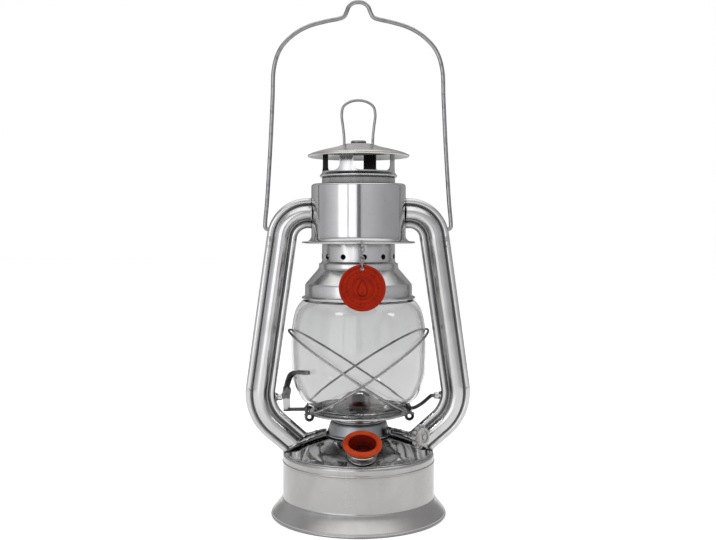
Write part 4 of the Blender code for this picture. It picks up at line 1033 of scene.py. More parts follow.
class Recipes:
    """The node trees of the lantern."""

    def __init__(self) -> None:
        """Build every tree."""
        self.bent_wire = self.make_bent_wire()
        self.rim_ring = self.make_rim_ring()
        self.chain = self.make_chain()
        self.thread = self.make_thread()
        self.crimps = self.make_crimps()

    def make_bent_wire(self) -> Recipe:
        """Build the tree of a round wire that follows its host's path.

        Returns:
            The recipe.
        """
        recipe = Recipe("Bent Wire", {"Radius": 0.001, "Sides": 16})
        path = recipe.inputs.outputs[0]
        return recipe.end(recipe.wire(path, recipe.size("Radius"), recipe.size("Sides")))

    def make_rim_ring(self) -> Recipe:
        """Build the tree of small raised rims that stand round a pipe.

        Returns:
            The recipe.
        """
        recipe = Recipe("Ring Of Rims", {
            "Count": 11, "Pipe": 0.025, "Height": 0.178, "Rim": 0.0013, "Wire": 0.0002, "Start": 0.0})
        hole = recipe.round(24, recipe.size("Rim"))
        rim = recipe.wire(hole, recipe.size("Wire"), 8)
        circle = recipe.step("GeometryNodeMeshCircle", {
            "Vertices": recipe.size("Count"), "Radius": recipe.size("Pipe")})
        lift = recipe.step("ShaderNodeCombineXYZ", {2: recipe.size("Height")})
        spin = recipe.step("ShaderNodeCombineXYZ", {2: recipe.size("Start")})
        placed = recipe.step("GeometryNodeTransform", {0: circle, "Translation": lift, "Rotation": spin})
        position = recipe.step("GeometryNodeInputPosition")
        outward = recipe.flat(position)
        turn = recipe.step("FunctionNodeAlignRotationToVector", {"Vector": outward}, axis="Z")
        rims = recipe.step("GeometryNodeInstanceOnPoints", {0: placed, "Instance": rim, "Rotation": turn})
        return recipe.end(rims)

    def make_chain(self) -> Recipe:
        """Build the tree of a run of links, each turned a quarter from the last.

        Returns:
            The recipe.
        """
        recipe = Recipe("Chain Links", {
            "Links": 3, "Pitch": 0.0034, "Wire": 0.00045, "Width": 0.00135, "Straight": 0.0009,
            "Turn": 0.0})
        circle = recipe.round(48, recipe.size("Width"))
        position = recipe.step("GeometryNodeInputPosition")
        side = recipe.maths("SIGN", recipe.add("ShaderNodeSeparateXYZ", {0: position}).outputs[1])
        reach = recipe.maths("MULTIPLY", side, recipe.size("Straight"))
        stretch = recipe.step("ShaderNodeCombineXYZ", {1: reach})
        oval = recipe.step("GeometryNodeSetPosition", {0: circle, "Offset": stretch})
        stood = recipe.step("GeometryNodeTransform", {0: oval, "Rotation": (QUARTER, 0.0, 0.0)})
        link = recipe.wire(stood, recipe.size("Wire"), 14)
        down = recipe.maths("MULTIPLY", recipe.size("Pitch"), -1.0)
        step = recipe.step("ShaderNodeCombineXYZ", {2: down})
        line = recipe.step("GeometryNodeMeshLine", {"Count": recipe.size("Links"), "Offset": step})
        index = recipe.step("GeometryNodeInputIndex")
        quarter = recipe.maths("MULTIPLY_ADD", index, QUARTER, recipe.size("Turn"))
        turn = recipe.step("ShaderNodeCombineXYZ", {2: quarter})
        links = recipe.step("GeometryNodeInstanceOnPoints", {0: line, "Instance": link, "Rotation": turn})
        return recipe.end(links)

    def make_thread(self) -> Recipe:
        """Build the tree of a screw thread, as a rounded rib on a helix.

        Returns:
            The recipe.
        """
        recipe = Recipe("Screw Thread", {"Turns": 3.0, "Radius": 0.006, "Rise": 0.006, "Rib": 0.0003})
        helix = recipe.step("GeometryNodeCurveSpiral", {
            "Resolution": 64, "Rotations": recipe.size("Turns"), "Start Radius": recipe.size("Radius"),
            "End Radius": recipe.size("Radius"), "Height": recipe.size("Rise")})
        return recipe.end(recipe.wire(helix, recipe.size("Rib"), 8))

    def make_crimps(self) -> Recipe:
        """Build the tree of small pressed crimps along its host's path.

        Returns:
            The recipe.
        """
        recipe = Recipe("Crimps", {"Count": 5, "Size": Vector((0.0006, 0.0016, 0.0004))})
        path = recipe.inputs.outputs[0]
        places = recipe.step("GeometryNodeCurveToPoints", {0: path, "Count": recipe.size("Count")})
        ball = recipe.step("GeometryNodeMeshUVSphere", {"Segments": 16, "Rings": 8, "Radius": 1.0})
        size = recipe.size("Size")
        crimps = recipe.step("GeometryNodeInstanceOnPoints", {0: places, "Instance": ball, "Scale": size})
        return recipe.end(crimps)


# Sub-assemblies


def dress(piece: Piece, material: Material) -> None:
    """Give a piece one finish in place of those it has."""
    piece.data.materials.clear()
    piece.data.materials.append(material)


@dataclass
class Assembly:
    """A group of pieces that are built and dressed together."""

    finishes: Finishes
    recipes: Recipes

    def settle(self, piece: Piece, body: Body, nodes: Sequence[str] = (), slot: str = "",
               material: Material | None = None) -> Piece:
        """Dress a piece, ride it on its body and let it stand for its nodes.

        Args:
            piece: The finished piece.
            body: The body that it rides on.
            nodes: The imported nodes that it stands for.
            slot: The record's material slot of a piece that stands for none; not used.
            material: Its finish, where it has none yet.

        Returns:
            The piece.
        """
        if material is not None:
            dress(piece, material)
        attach(piece, body.value)
        if nodes:
            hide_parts(*nodes)
        LOG.info("%s rides on %s, %d faces", piece.name, body.value, len(piece.data.polygons))
        return piece

    def keep(self, node: str, material: Material) -> None:
        """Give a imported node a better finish.

        Args:
            node: The node's name.
            material: Its finish.
        """
        dress(bpy.data.objects[node], material)
        LOG.info("%s keeps its packed shape", node)

    def bend(self, name: str, points: Sequence[Sequence[float]], radius: float, material: Material,
             closed: bool = False, sides: int = 16) -> Piece:
        """Bend a wire along points.

        Args:
            name: The piece's name.
            points: The points of its path.
            radius: The wire's radius.
            material: Its finish.
            closed: True for a loop.
            sides: Sides of its section.

        Returns:
            The new piece.
        """
        host = path_host(points, closed)
        return self.recipes.bent_wire.make(name, host, material, Radius=radius, Sides=sides)


@dataclass
class Tank(Assembly):
    """The fuel tank: wall with its flared foot, domed top, floor and burner collar."""

    wall_radius: float = 0.0523
    rim_radius: float = 0.0606
    rim_width: float = 0.0024
    rim_height: float = 0.0016
    flare_top: float = 0.0133
    bead_height: float = 0.0374
    shoulder: float = 0.0023
    top_height: float = 0.0432
    dome_rise: float = 0.0118
    bead_half: float = 0.0015
    bead_radius: float = 0.00085
    bead_depth: float = 0.0004
    skirt_low: float = 0.0413
    skirt_step: float = 0.0002
    filler_hole: float = 0.0088
    filler_drill: float = 0.034
    seam_radius: float = 0.00042
    flare_shares: Pairs = ((0.07, 0.90), (0.24, 0.70), (0.52, 0.44), (0.80, 0.20), (0.93, 0.09))
    dome_shares: Pairs = (
        (0.308, 1.0), (0.44, 0.955), (0.60, 0.75), (0.76, 0.50), (0.90, 0.235), (1.0, 0.0))

    def dome_line(self) -> Outline:
        """Return the outside of the domed top, from the burner hole out."""
        edge = self.wall_radius - self.shoulder - GAP
        return smooth(scaled(self.dome_shares, edge, self.top_height, self.dome_rise), 8)

    def dome_height(self, radius: float) -> float:
        """Return the height of the dome's outside at a radius.

        Args:
            radius: The distance from the axis.

        Returns:
            The height.
        """
        line = self.dome_line()
        for (r0, z0), (r1, z1) in zip(line, line[1:]):
            if r0 <= radius <= r1:
                return z0 + (z1 - z0) * (radius - r0) / (r1 - r0)
        raise ValueError("the dome does not reach this radius")

    def wall_line(self) -> Outline:
        """Return the outside of the wall, from the shoulder's top down to the foot's rim."""
        wall = self.wall_radius
        bead = arc((wall - self.bead_depth, self.bead_height), self.bead_radius, 1.1, -1.1, 8)
        bead = [(wall, self.bead_height + self.bead_half), *bead, (wall, self.bead_height - self.bead_half)]
        span = self.rim_radius - wall
        drop = self.flare_top - self.rim_height
        flare = [(wall, self.flare_top + 0.0030), (wall, self.flare_top)]
        flare += [(wall + across * span, self.rim_height + up * drop) for across, up in self.flare_shares]
        flare.append((self.rim_radius - 0.0005, self.rim_height + 0.0007))
        shoulder = arc((wall - self.shoulder, self.top_height - self.shoulder), self.shoulder, QUARTER, 0, 10)
        return shoulder + bead + smooth(flare, 5)[1:]

    def build(self) -> None:
        """Build the tank's pieces."""
        line = self.wall_line()
        rim = self.rim_radius
        roll = self.rim_height / 2 + 0.0001
        rolled = arc((rim - roll - 0.00005, roll), roll, 1.1, -QUARTER, 8)
        inner_rim = rim - self.rim_width
        inside = [(inner_rim, 0.0), (inner_rim, self.rim_height)] + offset_line(line, SHEET)[-2::-1]
        body = turned("tank_wall", line + rolled + inside, LARGE_STEPS)
        self.settle(body, Body.FRAME, ["tank_body"], material=self.finishes.tank)
        dome = self.dome_line()
        edge, edge_height = dome[-1]
        step = self.skirt_step
        skirt = arc((edge - step, edge_height - 5 * step), 2 * step, 0.6, 0, 3)
        skirt.append((edge + step, self.skirt_low))
        out = Filler.out
        hole = drill(self.filler_hole, (0, -out, self.dome_height(out)),
                     (0, -math.sin(Filler.tilt), math.cos(Filler.tilt)), self.filler_drill, 64)
        top = cut_by(turned("tank_dome", sheet(dome + skirt), LARGE_STEPS), [hole])
        self.settle(top, Body.FRAME, ["tank_top"], material=self.finishes.dome)
        centre = (self.wall_radius - self.shoulder - 0.0001, self.top_height + 0.00005)
        seam = arc(centre, self.seam_radius, 0, FULL, 12)[:-1]
        crimp = turned("shoulder_seam", seam, LARGE_STEPS)
        self.settle(crimp, Body.FRAME, slot="tin", material=self.finishes.hood)
        self.keep("tank_bottom", self.finishes.dull)
        self.keep("burner_collar", self.finishes.brass)


@dataclass
class Filler(Assembly):
    """The tilted filler neck with its gasket and the red screw cap."""

    tilt = math.radians(26)
    out: float = 0.0400
    base_height: float = 0.0481
    neck_radius: float = 0.0085
    lip_radius: float = 0.0112
    lip_height: float = 0.0071
    gasket_top: float = 0.0081
    ring_radius: float = 0.0110
    ring_half: float = 0.0019
    plug_depth: float = 0.0080
    hollow_radius: float = 0.0067
    seat_radius: float = 0.0092
    neck_depth: float = 0.0030
    edge: float = 0.0006
    thread_turns: float = 3.2
    thread_rise: float = 0.0045
    thread_rib: float = 0.00030

    def place(self) -> Matrix:
        """Return the placing of the filler's own frame."""
        return Matrix.Translation((0, -self.out, self.base_height)) @ Matrix.Rotation(self.tilt, 4, "X")

    def build(self) -> None:
        """Build the filler's pieces."""
        self.build_neck()
        self.build_cap()

    def build_neck(self) -> None:
        """Build the flared neck and the gasket on its lip."""
        neck, lip_edge, high = self.neck_radius, self.lip_radius, self.lip_height
        outer = rounded([
            (lip_edge, high), (lip_edge, high - 0.0010), (lip_edge - 0.0007, high - 0.0016),
            (neck + 0.0001, 0.0012), (neck + 0.0011, 0.0011), (neck + 0.0011, 0.0002), (neck, 0.0002),
            (neck, -self.neck_depth)], self.edge)
        bore = neck - SHEET
        inner = rounded([
            (bore, -self.neck_depth), (bore, 0.0022), (lip_edge - 0.0021, 0.0050), (lip_edge - 0.0017, high)],
            self.edge)
        piece = turned("filler_funnel", outer + inner, SMALL_STEPS, self.place())
        self.settle(piece, Body.FRAME, ["filler_neck"], material=self.finishes.hood)
        inside, outside, low = self.seat_radius, lip_edge - GAP, high + GAP
        ring = rounded([
            (inside, self.gasket_top), (outside, self.gasket_top), (outside, low), (inside, low)],
            self.edge / 3, closed=True)
        gasket = turned("filler_gasket", ring, SMALL_STEPS, self.place())
        self.settle(gasket, Body.CAP_CARRIER, ["cap_gasket"], material=self.finishes.rubber)

    def build_cap(self) -> None:
        """Build the red cap, with painted shade in its hollow, and the thread that shows there."""
        centre = self.gasket_top + GAP + self.ring_half
        low = centre - self.ring_half - self.plug_depth
        plug = self.neck_radius - SHEET - GAP
        ring_arc = arc((self.ring_radius, centre), self.ring_half, math.pi * 0.93, -QUARTER, 20)
        hollow, edge = self.hollow_radius, self.edge
        ring_inside = self.ring_radius - self.ring_half
        outline = [
            (0, low + edge), (hollow - edge, low + edge), (hollow, low + 2 * edge),
            (hollow + 0.0001, 0.0026), (hollow + 0.0008, 0.0050), (hollow + 0.0017, self.gasket_top),
            *ring_arc, (ring_inside, self.gasket_top + GAP), (0.0084, self.lip_height), (plug, 0.0030),
            (plug, low + edge), (plug - edge, low), (0, low)]
        cap = turned("screw_cap", outline, FINE_STEPS, self.place(), closed=False)
        self.settle(cap, Body.CAP, ["fuel_cap"], material=self.finishes.cap)
        # Painted shade: the faces in the hollow take the darker copy of the enamel.
        cap.data.materials.append(self.finishes.cap_hollow_shade)
        inverse = self.place().inverted()
        for face in cap.data.polygons:
            spot = inverse @ face.center
            if spot.z < centre + 0.0002 and math.hypot(spot.x, spot.y) < ring_inside + 0.0001:
                face.material_index = 1
        rib = self.recipes.thread.make(
            "cap_thread", empty_host(), self.finishes.cap, Turns=self.thread_turns, Radius=hollow,
            Rise=self.thread_rise, Rib=self.thread_rib)
        rib.data.transform(self.place() @ Matrix.Translation((0, 0, low + 0.0008)))
        # The thread is dressed in the same painted shade as the hollow.
        self.settle(rib, Body.CAP, slot="red_paint", material=self.finishes.cap_hollow_shade)


@dataclass
class Burner(Assembly):
    """The air drum on the dome, and the burner's deck, cone, wick tube and wick."""

    drum_low: float = 0.0548
    drum_low_radius: float = 0.0218
    drum_high_radius: float = 0.0196
    drum_top: float = 0.0640
    drum_hole: float = 0.0145
    lip_radius: float = 0.0226
    cone_low: float = 0.0654
    cone_radius: float = 0.0195
    cone_shoulder: float = 0.0730
    cone_top: float = 0.0846
    cone_foot: float = 0.0170
    turn: float = math.radians(-44.2)
    wick_half: float = 0.0070
    wick_length: float = 0.0650
    wick_low: float = 0.0140
    wick_thickness: float = 0.0016
    slot_size: tuple[float, float, float] = (0.0180, 0.0036, 0.0160)
    cone_shares: Pairs = ((0.0, 1.0), (0.20, 0.97), (0.36, 0.90), (0.54, 0.66), (0.78, 0.28), (1.0, 0.0))
    cone_holes: int = 18
    cone_hole: tuple[float, float, float] = (0.0008, 0.0182, 0.0682)

    def build(self) -> None:
        """Build the drum and the burner."""
        low = self.drum_low
        line = rounded([
            (self.drum_hole, self.drum_top), (self.drum_high_radius - SHEET, self.drum_top),
            (self.drum_high_radius, self.drum_top - 0.0009), (self.drum_low_radius, low + 0.0016),
            (self.lip_radius, low + 0.0010), (self.lip_radius, low)], 0.0006)
        drum = turned("air_drum", sheet(line))
        self.settle(drum, Body.FRAME, ["air_chamber"], material=self.finishes.drum)
        band = arc((self.lip_radius - 0.0001, low + 0.0006), 0.00055, 0, FULL, 12)[:-1]
        self.settle(turned("drum_bead", band), Body.FRAME, slot="tin", material=self.finishes.tin)
        self.build_cone()
        self.keep("burner_base", self.finishes.dull)
        self.keep("wick_tube", self.finishes.brass)
        half, high = self.wick_half, self.wick_length
        outline = rounded([(-half, 0), (half, 0), (half, high), (-half, high)], 0.0004, closed=True)
        place = Matrix.Rotation(self.turn, 4, "Z") @ Matrix.Translation((0, 0, self.wick_low)) @ STANDING
        wick = plate("cotton_wick", outline, self.wick_thickness, place, 0.0003)
        self.settle(wick, Body.WICK, ["wick"], material=self.finishes.cotton)

    def build_cone(self) -> None:
        """Build the cone with its flame slot and its row of air holes."""
        rise = self.cone_top - self.cone_shoulder
        crown = smooth(scaled(self.cone_shares, self.cone_radius, self.cone_shoulder, rise), 6)
        skirt = rounded([
            (self.cone_radius, self.cone_shoulder),
            (self.cone_radius + SHEET / 2, self.cone_shoulder - SHEET),
            (self.cone_radius, self.cone_shoulder - 2 * SHEET), (self.cone_foot, self.cone_low + SHEET),
            (self.cone_foot, self.cone_low)], 0.0005)
        line = crown + skirt[1:]
        inner = offset_line(line, SHEET)[::-1]
        cone = turned("flame_cone", line + inner, SMALL_STEPS, closed=False)
        place = Matrix.Translation((0, 0, self.cone_top)) @ Matrix.Rotation(self.turn, 4, "Z")
        slot = block(self.slot_size, place)
        holes = drills_around(around(self.cone_holes), *self.cone_hole, 12, 10 * SHEET)
        cone = cut_by(cone, [slot, *holes])
        self.settle(cone, Body.FRAME, ["burner_cone"], material=self.finishes.tank)
        # Soot and painted shade on the cone's inner faces.
        line_inside(cone, self.cone_radius - SHEET / 2, self.finishes.soot_and_shade)


@dataclass
class WickDrive(Assembly):
    """The clear knob, its shaft and gland, and the two spur wheels."""

    angle: float = math.radians(-44.2)
    offset: float = 0.0044
    height: float = 0.0592
    knob_distance: float = 0.0516
    knob_radius: float = 0.0082
    knob_thickness: float = 0.0052
    flange_thickness: float = 0.0026
    face_radius: float = 0.0061
    lobe_depth: float = 0.0019
    lobes: int = 12
    shaft_radius: float = 0.0011
    shaft_start: float = -0.0080
    gland_distance: float = 0.0222

    def along(self, distance: float) -> Matrix:
        """Return the placing at a distance along the shaft, with Z along it.

        Args:
            distance: The distance from the lantern's axis.

        Returns:
            The placing.
        """
        direction = Vector((math.cos(self.angle), math.sin(self.angle), 0))
        side = Vector((-math.sin(self.angle), math.cos(self.angle), 0))
        return facing(side * self.offset + Vector((0, 0, self.height)) + direction * distance, direction)

    def lobed(self, radius: float, depth: float, height: float) -> Path:
        """Return a ring with shallow round lobes.

        Args:
            radius: The radius over the lobes.
            depth: The lobes' depth.
            height: Its place along the shaft.

        Returns:
            The ring's points.
        """
        place = self.along(0)
        ring = []
        for a in around(SMALL_STEPS):
            reach = radius - depth * (0.5 - 0.5 * math.cos(self.lobes * a)) ** 1.6
            ring.append(place @ Vector((reach * math.cos(a), reach * math.sin(a), height)))
        return ring

    def build(self) -> None:
        """Build the knob and what drives the wick."""
        back = self.knob_distance - self.knob_thickness / 2
        flange = back + self.flange_thickness
        front = self.knob_distance + self.knob_thickness / 2
        face, edge = self.face_radius, self.knob_radius
        profile = [
            (edge - 0.0026, 0.0, back + 0.0003), (edge - 0.0007, 0.6, back),
            (edge - 0.0001, 1.0, back + 0.0005), (edge, 1.0, back + 0.0013),
            (edge - 0.0002, 1.0, flange - 0.0003), (edge - 0.0008, 0.7, flange),
            (face, 0.0, flange + 0.0001), (face, 0.0, front - 0.0008),
            (face - 0.0003, 0.0, front - 0.0003), (face - 0.0008, 0.0, front),
            (face - 0.0022, 0.0, front), (face - 0.0026, 0.0, front - 0.0007),
            (0.0020, 0.0, front - 0.0007), (0.0017, 0.0, front - 0.0001)]
        rings = [self.lobed(radius, self.lobe_depth * share, height) for radius, share, height in profile]
        knob = loft("clear_knob", [rings], 50.0)
        self.settle(knob, Body.WICK_DRIVE, ["wick_knob"], material=self.finishes.resin)
        length = back - GAP - self.shaft_start
        shaft = turned("knob_shaft", rod_outline(self.shaft_radius, length), 24, self.along(self.shaft_start),
                       closed=False)
        self.settle(shaft, Body.WICK_DRIVE, ["wick_shaft"], material=self.finishes.wire)
        bore = self.shaft_radius + GAP
        gland = turned("packing_gland", rounded([
            (bore, 0.0045), (0.0022, 0.0045), (0.0026, 0.0040), (0.0026, 0.0026), (0.0030, 0.0024),
            (0.0030, 0.0), (bore, 0.0)], 0.0003, closed=True), 48, self.along(self.gland_distance))
        self.settle(gland, Body.FRAME, ["shaft_gland"], material=self.finishes.dull)
        self.keep("spur_wheel_1", self.finishes.brass)
        self.keep("spur_wheel_2", self.finishes.brass)


@dataclass
class GlobeCarriage(Assembly):
    """The globe plate, the glass globe and the two crossing guard wires."""

    plate_low: float = 0.0699
    plate_rim: float = 0.0345
    plate_hole: float = 0.0206
    seat_height: float = 0.0729
    ear_half_width: float = 0.0117
    ear_thickness: float = 0.0010
    ear_height: float = 0.0053
    deck_height: float = 0.0715
    ridge_height: float = 0.0746
    rim_roll: float = 0.0008
    curl_radius: float = 0.0023
    curl_inset: float = 0.0012
    curl_drop: float = 0.0006
    curl_pitch: float = 0.0004
    glass_radius: float = 0.0468
    glass_top: float = 0.1520
    glass_wall: float = 0.0015
    wire_radius: float = 0.0008
    guard_radius: float = 0.0480
    guard_step: float = 0.0021
    guard_centre: float = 0.0954
    guard_slope: float = 0.66
    guard_end_half: float = 0.0125
    guard_points: int = 180
    glass_shares: Pairs = (
        (0.747, 1.00), (0.756, 0.967), (0.826, 0.944), (0.920, 0.868), (0.973, 0.740), (0.997, 0.580),
        (0.998, 0.430), (0.990, 0.300), (0.940, 0.190), (0.855, 0.100), (0.735, 0.045), (0.607, 0.000))

    def build(self) -> None:
        """Build the carriage's pieces."""
        self.build_plate()
        low = self.seat_height + GAP
        line = smooth(scaled(self.glass_shares, self.glass_radius, low, self.glass_top - low), 8)
        glass = turned("glass_globe", sheet(line, self.glass_wall, 6), LARGE_STEPS, crease=60.0)
        self.settle(glass, Body.CARRIAGE, ["globe"], material=self.finishes.glass)
        self.build_guard()

    def build_plate(self) -> None:
        """Build the plate with its globe seat, its rolled rim and its two ears."""
        low, deck, ridge, roll = self.plate_low, self.deck_height, self.ridge_height, self.rim_roll
        rim_top = low + 0.0014
        line = rounded([
            (self.plate_hole, deck), (0.0240, deck), (0.0250, ridge), (0.0258, ridge),
            (0.0262, self.seat_height), (0.0298, self.seat_height), (0.0306, rim_top), (0.0333, rim_top)],
            0.0005)
        rim = arc((self.plate_rim - roll, low + 0.0007), roll, QUARTER * 0.9, -QUARTER, 8)
        dish = turned("globe_dish", line + rim + [(self.plate_hole, low)])
        self.settle(dish, Body.CARRIAGE, ["globe_plate"], material=self.finishes.tin)
        half = self.ear_half_width
        height = self.ear_height
        outline = rounded([
            (-half, 0), (half, 0), (half, height / 2), (half / 2, height), (-half / 2, height),
            (-half, height / 2)], 0.0016, 6, closed=True)
        for name, side in SIDES:
            across = side * (self.plate_rim + GAP + self.ear_thickness / 2)
            place = Matrix.Translation((across, 0, low + GAP)) @ SIDEWAYS
            ear = plate(f"guard_ear_{name}", outline, self.ear_thickness, place)
            self.settle(ear, Body.CARRIAGE, [f"plate_ear_{name}"], material=self.finishes.dark_wire)
            for face, depth in FACES:
                centre = (across - side * self.curl_inset, low - self.curl_drop)
                out = depth * (half + self.curl_drop)
                turns = arc(centre, self.curl_radius, -2.4 * QUARTER, 2.2 * QUARTER, 26)
                pitch = depth * self.curl_pitch
                ring = [(x, out + pitch * math.sin(3 * i), z) for i, (x, z) in enumerate(turns)]
                curl = self.bend(f"ear_curl_{name}_{face}", ring, 1.3 * self.wire_radius,
                                 self.finishes.dark_wire)
                self.settle(curl, Body.CARRIAGE, slot="steel_wire")

    def build_guard(self) -> None:
        """Bend the two guard wires round the globe, one just outside the other."""
        end_x = self.plate_rim + 2 * GAP + self.ear_thickness + self.wire_radius
        end_radius = math.hypot(end_x, self.guard_end_half)
        end_angle = math.pi - math.atan2(self.guard_end_half, end_x)
        turn_in = math.radians(100)
        for name, node, side, step in (("guard_loop_inner", "guard_wire_inner", 1, 0.0),
                                       ("guard_loop_outer", "guard_wire_outer", -1, self.guard_step)):
            points = []
            for i in range(self.guard_points):
                angle = end_angle * (2 * i / (self.guard_points - 1) - 1)
                turn = max(abs(angle) - turn_in, 0) / (end_angle - turn_in)
                ease = turn * turn * (3 - 2 * turn)
                plan = self.guard_radius + step * math.sin(angle) ** 2
                radius = plan + ease * (end_radius - plan)
                along = radius * math.cos(angle)
                height = self.guard_centre + self.guard_slope * along
                points.append((side * along, radius * math.sin(angle), height))
            wire = self.bend(name, points, self.wire_radius, self.finishes.wire)
            self.settle(wire, Body.CARRIAGE, [node])


@dataclass
class LiftLever(Assembly):
    """The crank rod that lifts the globe, its plate, pin and handle, and the eyes that it turns in."""

    pivot_height: float = 0.0810
    rod_radius: float = 0.0013
    rod_back: float = 0.0220
    rod_drop: float = 0.0127
    bend_start: float = 0.0415
    bend_end: float = 0.0502
    plate_x: float = 0.0500
    plate_thickness: float = 0.0012
    plate_half_width: float = 0.0030
    strap_x: float = -0.0499
    strap_width: float = 0.0050
    clamp_height: float = 0.0040
    clamp_thickness: float = 0.0034
    end_inset: float = 0.0004
    eye_end: float = 0.0561
    eye_length: float = 0.0034
    handle_radius: float = 0.0018
    handle_tip: tuple[float, float, float] = (-0.0345, -0.0360, 0.1030)
    channel_shares: Pairs = (
        (-1.0, 0.9), (-1.0, -0.5), (1.0, -0.5), (1.0, 0.9),
        (0.62, 0.9), (0.62, 0.0), (-0.62, 0.0), (-0.62, 0.9))
    handle_shares: Sequence[tuple[float, float, float]] = (
        (0.0, 0.0, 0.0), (0.04, 0.08, 0.22), (0.12, 0.20, 0.50), (0.23, 0.36, 0.74), (0.42, 0.56, 0.89),
        (0.68, 0.78, 0.96), (1.0, 1.0, 1.0))

    def build(self) -> None:
        """Build the lever's pieces."""
        pivot = self.pivot_height
        low = pivot - self.rod_drop
        middle = (self.bend_start + self.bend_end) / 2
        inner = self.plate_x - self.plate_thickness / 2 - GAP
        back, end = self.rod_back, self.eye_end - self.end_inset
        bend = smooth([
            (self.bend_start - 0.0030, back, low), (self.bend_start, back * 0.95, low + 0.0006),
            (middle, back / 2, low + self.rod_drop * 0.44), (self.bend_end, 0.0008, pivot - 0.0006),
            (self.bend_end + 0.0016, 0, pivot)], 10)
        points = [(-inner, back, low), (0, back, low), *bend, (end, 0, pivot)]
        rod = self.bend("crank_wire", points, self.rod_radius, self.finishes.dark_wire)
        self.settle(rod, Body.LEVER, ["crank_rod"])
        self.build_plate()
        self.build_handle()
        length = end - self.plate_x - self.plate_thickness / 2 - GAP
        place = facing((-end, 0, pivot), (1, 0, 0))
        pin = turned("lever_pivot_pin", rod_outline(self.rod_radius, length), 32, place, closed=False)
        self.settle(pin, Body.LEVER, ["lever_pin"], material=self.finishes.wire)
        self.build_eyes()

    def build_eyes(self) -> None:
        """Turn the two eyes on the side tubes."""
        bore = self.rod_radius + GAP
        reach = self.eye_length + 0.0011
        ring = rounded([
            (bore, reach), (0.0034, reach), (0.0024, self.eye_length - self.end_inset), (0.0022, 0.0006),
            (0.0026, 0.0), (bore, 0.0)], 0.0003, closed=True)
        for (name, side), node in zip(SIDES, ("lever_bracket_left", "pivot_eye_right")):
            start = (side * (self.eye_end - self.eye_length), 0, self.pivot_height)
            eye = turned(f"{name}_pivot_eye", ring, 48, facing(start, (side, 0, 0)))
            self.settle(eye, Body.FRAME, [node], material=self.finishes.tube)

    def build_plate(self) -> None:
        """Bend the lever's strap, which joins the rod to its pivot, and fold its clamp."""
        half = self.plate_thickness / 2
        low = self.pivot_height - self.rod_drop
        line = smooth([
            (0, self.pivot_height + 0.0030), (0.0002, self.pivot_height), (0.5 * self.rod_back, low + 0.0068),
            (self.rod_back, low + 0.0006), (self.rod_back + 0.0012, low - 0.0014)], 6)
        sides = offset_line(line, half) + offset_line(line, -half)[::-1]
        place = Matrix.Translation((self.strap_x, 0, 0)) @ SIDEWAYS
        strap = plate("lever_strap", sides, self.strap_width, place)
        self.settle(strap, Body.LEVER, ["lever_plate"], material=self.finishes.tank)
        wide, high = (self.strap_width + self.plate_thickness) / 2, self.clamp_height
        fold = rounded([
            (-wide, -high), (wide * 0.7, -high * 1.1), (wide, -high * 0.2), (wide * 1.1, high * 0.5),
            (wide * 0.6, high), (-wide * 0.7, high * 0.9)], 0.0009, 4, closed=True)
        place = Matrix.Translation((self.strap_x, -0.0001, self.pivot_height + 0.9 * high)) @ STANDING
        clamp = plate("lever_clamp", fold, self.clamp_thickness, place, 0.0005)
        self.settle(clamp, Body.LEVER, slot="dull_tin", material=self.finishes.dark_wire)

    def build_handle(self) -> None:
        """Press the handle, a narrow channel that runs from the strap forward and inward to its tip."""
        rise = self.plate_half_width + GAP + self.handle_radius
        foot = Vector((-self.plate_x, 0, self.pivot_height + rise))
        span = Vector(self.handle_tip) - foot
        route = smooth([(foot.x + span.x * a, foot.y + span.y * b, foot.z + span.z * c)
                        for a, b, c in self.handle_shares], 10)
        radius = self.handle_radius
        section = rounded(scaled(self.channel_shares, radius, 0.0, radius), 0.25 * radius, 3, closed=True)
        rings = []
        for i, point in enumerate(route):
            here = Vector(point)
            ahead = (Vector(route[min(i + 1, len(route) - 1)]) - Vector(route[max(i - 1, 0)])).normalized()
            side = ahead.cross(Vector((0, 0, 1)))
            side = Vector((1, 0, 0)) if side.length < 0.2 else side.normalized()
            side = (side - ahead * side.dot(ahead)).normalized()
            if side.x < 0:
                side = -side
            up = side.cross(ahead).normalized()
            taper = min(1.0, 0.35 + 1.4 * math.sqrt(max(len(route) - 1 - i, 0) / 8))
            rings.append([here + side * u * taper + up * v for u, v in section])
        handle = loft("lift_handle", [rings], 40.0)
        self.settle(handle, Body.LEVER, ["lever_handle"], material=self.finishes.dark_wire)


